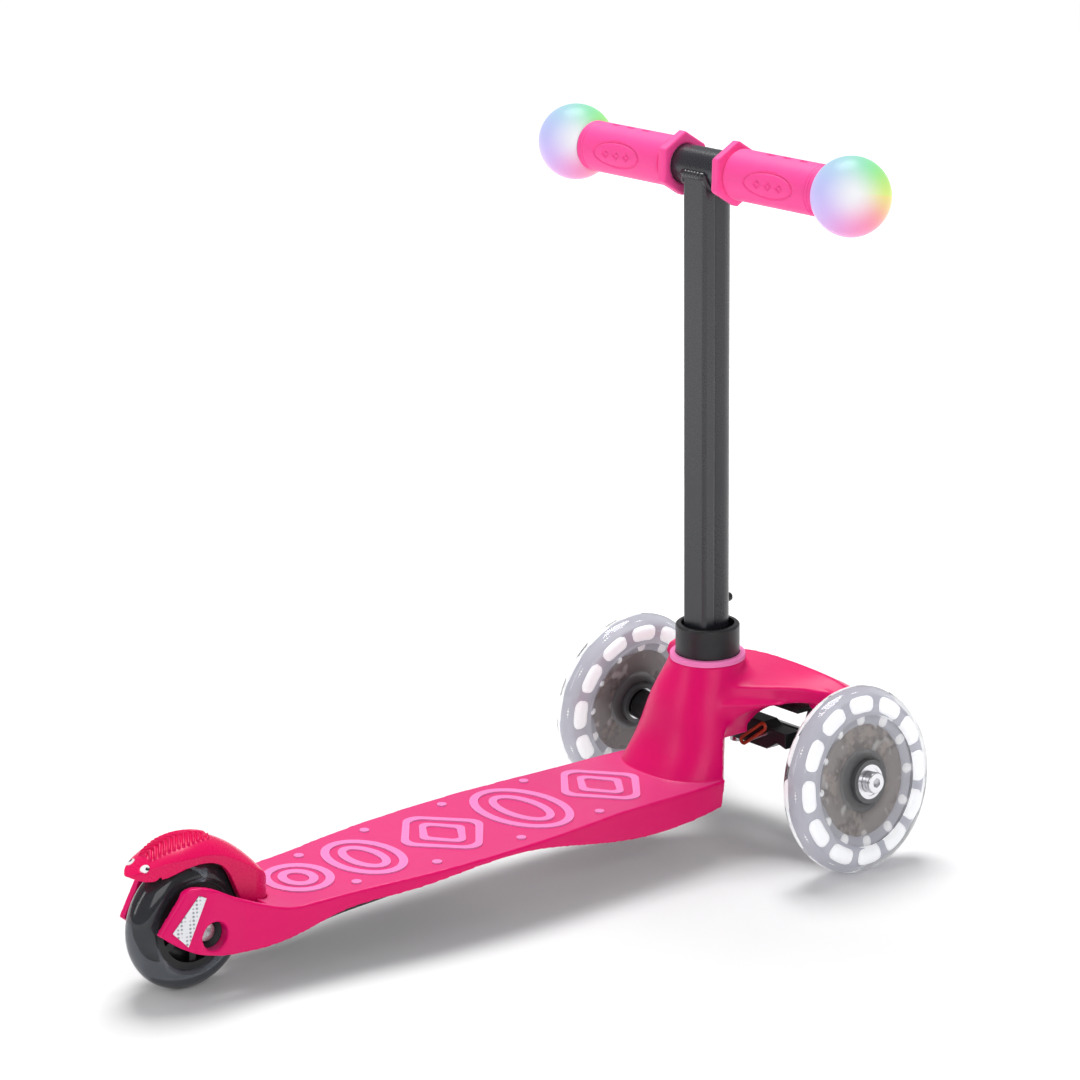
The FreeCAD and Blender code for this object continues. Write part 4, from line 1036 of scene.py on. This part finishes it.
def wheel_pieces():
    """The pieces of one front wheel about Z: mesh, name, material, slot and CAD nodes without a side."""
    segments = sizes().wheel_segments
    lugs = light_segments(sizes().light_segments, 44.6 * MM, 53.2 * MM, 8.2 * MM)
    beads = lamp_beads(12, 39.4 * MM, 3.2 * MM, 4.4 * MM)
    white = (1, 1, 1)
    return [
        (lathe("tyre", tyre_profile(FRONT_R, 12 * MM, 42 * MM, 2.2 * MM), segments), "wheel_tyre",
         clear_material("clear_tyre", colours().clear, 0.05, 0.95), "clear_tyre", ["front_tyre_"]),
        # the white segments, the cloudy ring and the beads glow a little: painted light in place of the light
        # the clear plastic keeps from them
        (gather("lugs", lugs), "wheel_light_segments",
         glowing("light_segment", white, 0.50, (0.93, 0.93, 0.95), 0.4, (300.0, 0.3, 0.05)),
         "clear_core", ["front_core_"]),
        (turned("ring", RING_MM, segments), "wheel_cloudy_ring",
         glowing("cloudy_core_painted_glow", (0.60, 0.60, 0.68), 0.22, (0.50, 0.50, 0.56), 0.35, (240.0, 0.3, 0.06)),
         "clear_core", []),
        (turned("disc", DISC_MM, segments), "wheel_clear_disc",
         clear_material("clear_disc", (0.90, 0.90, 0.92), 0.20, 0.90), "clear_core", []),
        (gather("beads", beads), "wheel_light_beads",
         glowing("light_bead", white, 0.35, (0.92, 0.92, 0.94), 0.3), "lamp", ["front_leds_"]),
        (turned("plate", PLATE_MM, segments), "wheel_winding_plate",
         material("winding_plate", {}, winding_tone, 0.4, grain=(300.0, 0.4, 0.1), dust=0.0),
         "copper", ["front_coils_"]),
        # the hub cone's paler edges are a painted highlight ring at its rim, drawn with the edge wear group
        (turned("cone", CONE_MM, segments), "wheel_hub_cone",
         material("hub_cone", {}, (0.17, 0.165, 0.165), 0.35, wear=0.5, worn=(0.5, 0.5, 0.5), dust=0.0),
         "grey_plastic", []),
    ]


class SCOOTER_OT_front_wheels(Operator):
    """Make the clear front wheels with their ring of white light segments"""

    bl_idname = "scooter.front_wheels"
    bl_label = "Front wheels"

    def execute(self, context):
        for obj, name, mat, slot, nodes in wheel_pieces():
            obj.name = name + "_right"
            onto_axle(obj, FRONT_HUB, FRONT_AXLE)
            twin = mirror_copy(obj, name + "_left")
            for one, (side, _) in zip((obj, twin), SIDES):
                place_piece(one, "front_wheel_" + side, mat, slot, *[node + side for node in nodes])
        grey = material("hub_plastic", {}, (0.10, 0.10, 0.105), 0.4, wear=0.4, worn=(0.2, 0.2, 0.2))
        metal = steel("bearing_steel", 0.72, 0.2)
        for side, _ in SIDES:
            wear_cad(grey, "front_hub_" + side)
            wear_cad(metal, "front_bearings_" + side, "front_sleeve_" + side, "front_axle_" + side)
        return {"FINISHED"}


# ---- rear wheel -------------------------------------------------------------
class SCOOTER_OT_rear_wheel(Operator):
    """Make the smoky rear tyre and dress its spoked core"""

    bl_idname = "scooter.rear_wheel"
    bl_label = "Rear wheel"

    def execute(self, context):
        segments = sizes().wheel_segments
        axle = Vector((1, 0, 0))
        profile = tyre_profile(REAR_R, 11 * MM, REAR_R - 14 * MM, 1.6 * MM)
        tyre = onto_axle(lathe("rear_wheel_tyre", profile, segments), REAR_HUB, axle)
        smoke = clear_material("smoky_tyre", colours().smoky, 0.08, 0.75)
        place_piece(tyre, "rear_wheel", smoke, "smoky_tyre", "rear_tyre")
        web = onto_axle(turned("rear_web", ((12.0, 2.4), (25.4, 2.4)), segments), REAR_HUB, axle)
        black = black_plastic("core_black", 0.35)
        place_piece(web, "rear_wheel", black, "black_plastic")
        wear_cad(black, "rear_core")
        wear_cad(steel("rear_bearing_steel", 0.7, 0.2), "rear_bearings", "rear_sleeve")
        return {"FINISHED"}


# ---- brake ------------------------------------------------------------------
CREST_START = FRONT_HUB.y - 473 * MM
CREST_END = FRONT_HUB.y - 430 * MM
PUPIL_R = 1.35 * MM


def fender_skin():
    """The whale-backed brake with a crest of ribs across its back."""
    skin = moulded("brake_moulding", sizes().small_mesh, 16, "brake_fender")
    points = points_of(skin)
    jaw = 1 - ramp(points[:, 1], REAR_HUB.y - 18 * MM, REAR_HUB.y - 12 * MM)
    fill_hollows(skin, 60, jaw)
    chin = jaw * (1 - ramp(points[:, 2], REAR_HUB.z + 34 * MM, REAR_HUB.z + 41 * MM))
    relax(skin, 30, chin, keep_volume=True)
    points = points_of(skin)
    normal = normals_of(skin)
    along = (points[:, 1] - CREST_START) / (CREST_END - CREST_START)
    inside = ramp(along, -0.02, 0.02) * (1 - ramp(along, 0.98, 1.02))
    outer = ramp(normal[:, 2], 0.15, 0.45)
    out = np.abs(points[:, 0])
    tips = 1 - ramp(out - 4 * MM * np.sin(np.clip(along, 0, 1) * math.pi), 5.6 * MM, 7.0 * MM)
    slant = along + out / (60 * MM)
    wave = np.clip(np.sin(2 * math.pi * slant * sizes().crest_ribs) * 1.3 + 0.35, -0.25, 1.0)
    points += normal * (sizes().crest_height * inside * outer * tips * wave)[:, None]
    set_points(skin, points)
    relax(skin, 1)
    return skin


def pupils():
    """A dark bead in the middle of each eye."""
    parts = []
    eye = frame["nodes"]["brake_eyes"]
    corners = points_of(eye)
    for side in (1, -1):
        own = corners[corners[:, 0] * side > 0]
        out = Vector((side * 0.45, -0.35, 0.82)).normalized()
        tip = own @ np.array(out)
        centre = Vector(own[tip > tip.max() - 0.5 * MM].mean(axis=0))
        verts, faces = bead(PUPIL_R)
        turn = Vector((0, 0, 1)).rotation_difference(out).to_matrix()
        flatten = Matrix.Diagonal((1, 1, 0.35))
        parts.append(([centre - out * (0.1 * MM) + turn @ (flatten @ v) for v in verts], faces))
    return gather("brake_pupils", parts)


class SCOOTER_OT_brake(Operator):
    """Mould the foot brake with its ribbed crest and eyes"""

    bl_idname = "scooter.brake"
    bl_label = "Brake"

    def execute(self, context):
        gloss = material("brake_pink", {"Specular IOR Level": 0.25}, colours().brake, 0.27,
                         grain=(1000.0, 0.04, 0.02), worn=(0.90, 0.02, 0.16), wear=0.12, dust=0.0)
        place_piece(fender_skin(), "brake", gloss, "brake_pink", "brake_fender")
        white = material("eye_white", {"Coat Weight": 0.5}, (0.88, 0.86, 0.88), 0.3, dust=0.0)
        wear_cad(white, "brake_eyes")
        dark = material("pupil_black", {"Coat Weight": 0.8}, (0.01, 0.01, 0.01), 0.2, dust=0.0)
        place_piece(pupils(), "brake", dark, "black_plastic")
        wear_cad(steel("shoe_steel", 0.5, 0.35), "brake_pad")
        return {"FINISHED"}


# ---- steering ---------------------------------------------------------------
def band_loops():
    """Red rubber bands: long flat loops between two posts, one on each side."""
    parts = []
    points = points_of(frame["nodes"]["steering_bands"])
    for side in (1, -1):
        own = points[points[:, 0] * side > 0]
        low = Vector(own[np.argmin(own[:, 2])])
        high = Vector(own[np.argmax(own[:, 2])])
        low.y = high.y = own[:, 1].mean()
        along = (high - low).normalized()
        across = along.cross(Vector((0, 1, 0))).normalized()
        half = (high - low).length / 2 - 2.4 * MM
        centre = (low + high) / 2
        path = []
        for k in range(64):
            angle = 2 * math.pi * k / 64
            path.append(centre + along * (half * np.sign(math.cos(angle)) + 2.3 * MM * math.cos(angle))
                        + across * (2.3 * MM * math.sin(angle)))
        parts.append(tube_along(path, 1.15 * MM, 12))
    return gather("rubber_bands", parts)


class SCOOTER_OT_steering(Operator):
    """Mould the knuckles, tie rod and bracket, and hang the red bands"""

    bl_idname = "scooter.steering"
    bl_label = "Steering"

    def execute(self, context):
        black = black_plastic("steering_plastic", 0.4)
        step = sizes().small_mesh
        for name, node, body in (("steering_knuckle_right", "knuckle_right", "knuckle_right"),
                                 ("steering_knuckle_left", "knuckle_left", "knuckle_left"),
                                 ("steering_tie_rod", "tie_rod", "tie_rod"),
                                 ("steering_bracket", "front_bracket", "deck")):
            place_piece(moulded(name, step, 8, node), body, black, "black_plastic", node)
        rubber = material("red_band_rubber", {}, colours().band, 0.4, grain=(600.0, 0.2, 0.08), dust=0.02)
        place_piece(band_loops(), "deck", rubber, "red_rubber", "steering_bands")
        metal = steel("steering_steel", 0.55, 0.3)
        bush = material("bush_bronze", {"Metallic": 1.0}, (0.50, 0.34, 0.18), 0.35, dust=0.0)
        wear_cad(metal, "kingpins", "bracket_bolt", "band_wires", "tie_pin_right", "tie_pin_left")
        wear_cad(bush, "kingpin_bushes_right", "kingpin_bushes_left")
        return {"FINISHED"}


# ---- stage ------------------------------------------------------------------
def soft_light(name, place, target, size, power):
    lamp = bpy.data.lights.new(name, "AREA")
    lamp.shape = "RECTANGLE"
    lamp.size = size[0]
    lamp.size_y = size[1]
    lamp.energy = power
    obj = linked(bpy.data.objects.new(name, lamp))
    obj.location = place
    obj.rotation_mode = "QUATERNION"
    obj.rotation_quaternion = (Vector(place) - Vector(target)).to_track_quat("Z", "Y")


def paper_floor():
    """A wide sheet of white paper under the scooter, with a painted glow that grows away from it so that the
    far floor stays white.
    """
    steps = 24
    reach = 16.0
    verts = [(-reach + 2 * reach * i / steps, -reach + 2 * reach * j / steps, 0.0)
             for i in range(steps + 1) for j in range(steps + 1)]
    faces = []
    for i in range(steps):
        for j in range(steps):
            k = i * (steps + 1) + j
            faces.append((k, k + steps + 1, k + steps + 2, k + 1))
    floor = mesh_object("paper_floor", verts, faces)
    paper = material("paper", {"Specular IOR Level": 0.05, "Emission Strength": 1.0}, (0.90, 0.90, 0.90), 0.9,
                     grain=(40.0, 0.02, 0.003), dust=0.0)
    g = Graph(paper.node_tree)
    away = g.add("VectorMath", {0: g.add("TexCoord").outputs["Object"]}, operation="LENGTH").outputs["Value"]
    glow = g.spread(away, 0.25, 1.30)
    shader = paper.node_tree.nodes["Principled BSDF"]
    # painted glow: almost none near the scooter, strong far from it
    g.feed(shader.inputs["Emission Color"], g.blend(glow, (0.02, 0.02, 0.02), (0.66, 0.66, 0.66)))
    dress(floor, paper)


def camera():
    """A long lens behind and to the right of the scooter, a little above it."""
    place = Vector((1.61252, -1.38514, 0.82209))
    back = Vector((0.72256, -0.63714, 0.26825)).normalized()
    right = Vector((-0.21271, 0.16430, 0.96320)).cross(back).normalized()
    up = back.cross(right)
    lens = bpy.data.cameras.new("camera")
    lens.lens = 121.5
    lens.sensor_width = 36.0
    lens.clip_start = 0.05
    lens.clip_end = 50.0
    obj = linked(bpy.data.objects.new("camera", lens))
    turn = Matrix((right, up, back)).transposed().to_4x4()
    obj.matrix_world = Matrix.Translation(place) @ turn
    bpy.context.scene.camera = obj


class SCOOTER_OT_stage(Operator):
    """Set out the floor, soft lights, surroundings and camera"""

    bl_idname = "scooter.stage"
    bl_label = "Stage"

    def execute(self, context):
        paper_floor()
        target = (0.0, 0.0, 0.15)
        soft_light("key_light", (-0.7, 0.5, 2.4), target, (1.3, 1.3), 56.0)
        soft_light("fill_light", (2.2, -0.9, 1.3), target, (1.6, 1.2), 16.0)
        soft_light("side_light", (-0.9, -2.1, 1.1), target, (0.5, 1.4), 9.0)
        world = bpy.data.worlds.new("studio")
        world.use_nodes = True
        g = Graph(world.node_tree)
        sky = world.node_tree.nodes["Background"]
        seen = g.add("LightPath").outputs["Is Camera Ray"]
        g.feed(sky.inputs["Color"], g.blend(seen, (0.35, 0.35, 0.36), (0.92, 0.92, 0.93)))
        sky.inputs["Strength"].default_value = 1.0
        context.scene.world = world
        context.scene.view_settings.view_transform = "Standard"
        camera()
        return {"FINISHED"}


# ---- panel and registration ---------------------------------------------------
OPERATORS = (SCOOTER_OT_deck, SCOOTER_OT_stem, SCOOTER_OT_grips, SCOOTER_OT_lights,
             SCOOTER_OT_front_wheels, SCOOTER_OT_rear_wheel, SCOOTER_OT_brake, SCOOTER_OT_steering,
             SCOOTER_OT_stage)


class SCOOTER_PT_panel(Panel):
    """Lists the scooter's sizes, colours and pieces"""

    bl_idname = "SCOOTER_PT_panel"
    bl_label = "Kick Scooter"
    bl_space_type = "VIEW_3D"
    bl_region_type = "UI"
    bl_category = "Scooter"

    def draw(self, context):
        layout = self.layout
        for group in (context.scene.scooter_sizes, context.scene.scooter_colours):
            box = layout.box()
            for name in group.__annotations__:
                box.prop(group, name)
        for operator in OPERATORS:
            layout.operator(operator.bl_idname)


CLASSES = (ScooterSizes, ScooterColours) + OPERATORS + (SCOOTER_PT_panel,)


def register():
    for cls in CLASSES:
        bpy.utils.register_class(cls)
    bpy.types.Scene.scooter_sizes = PointerProperty(type=ScooterSizes)
    bpy.types.Scene.scooter_colours = PointerProperty(type=ScooterColours)


def unregister():
    del bpy.types.Scene.scooter_sizes
    del bpy.types.Scene.scooter_colours
    for cls in reversed(CLASSES):
        bpy.utils.unregister_class(cls)


def main():
    register()
    for operator in OPERATORS:
        getattr(bpy.ops.scooter, operator.bl_idname.split(".")[1])()


if __name__ == "__main__":
    main()
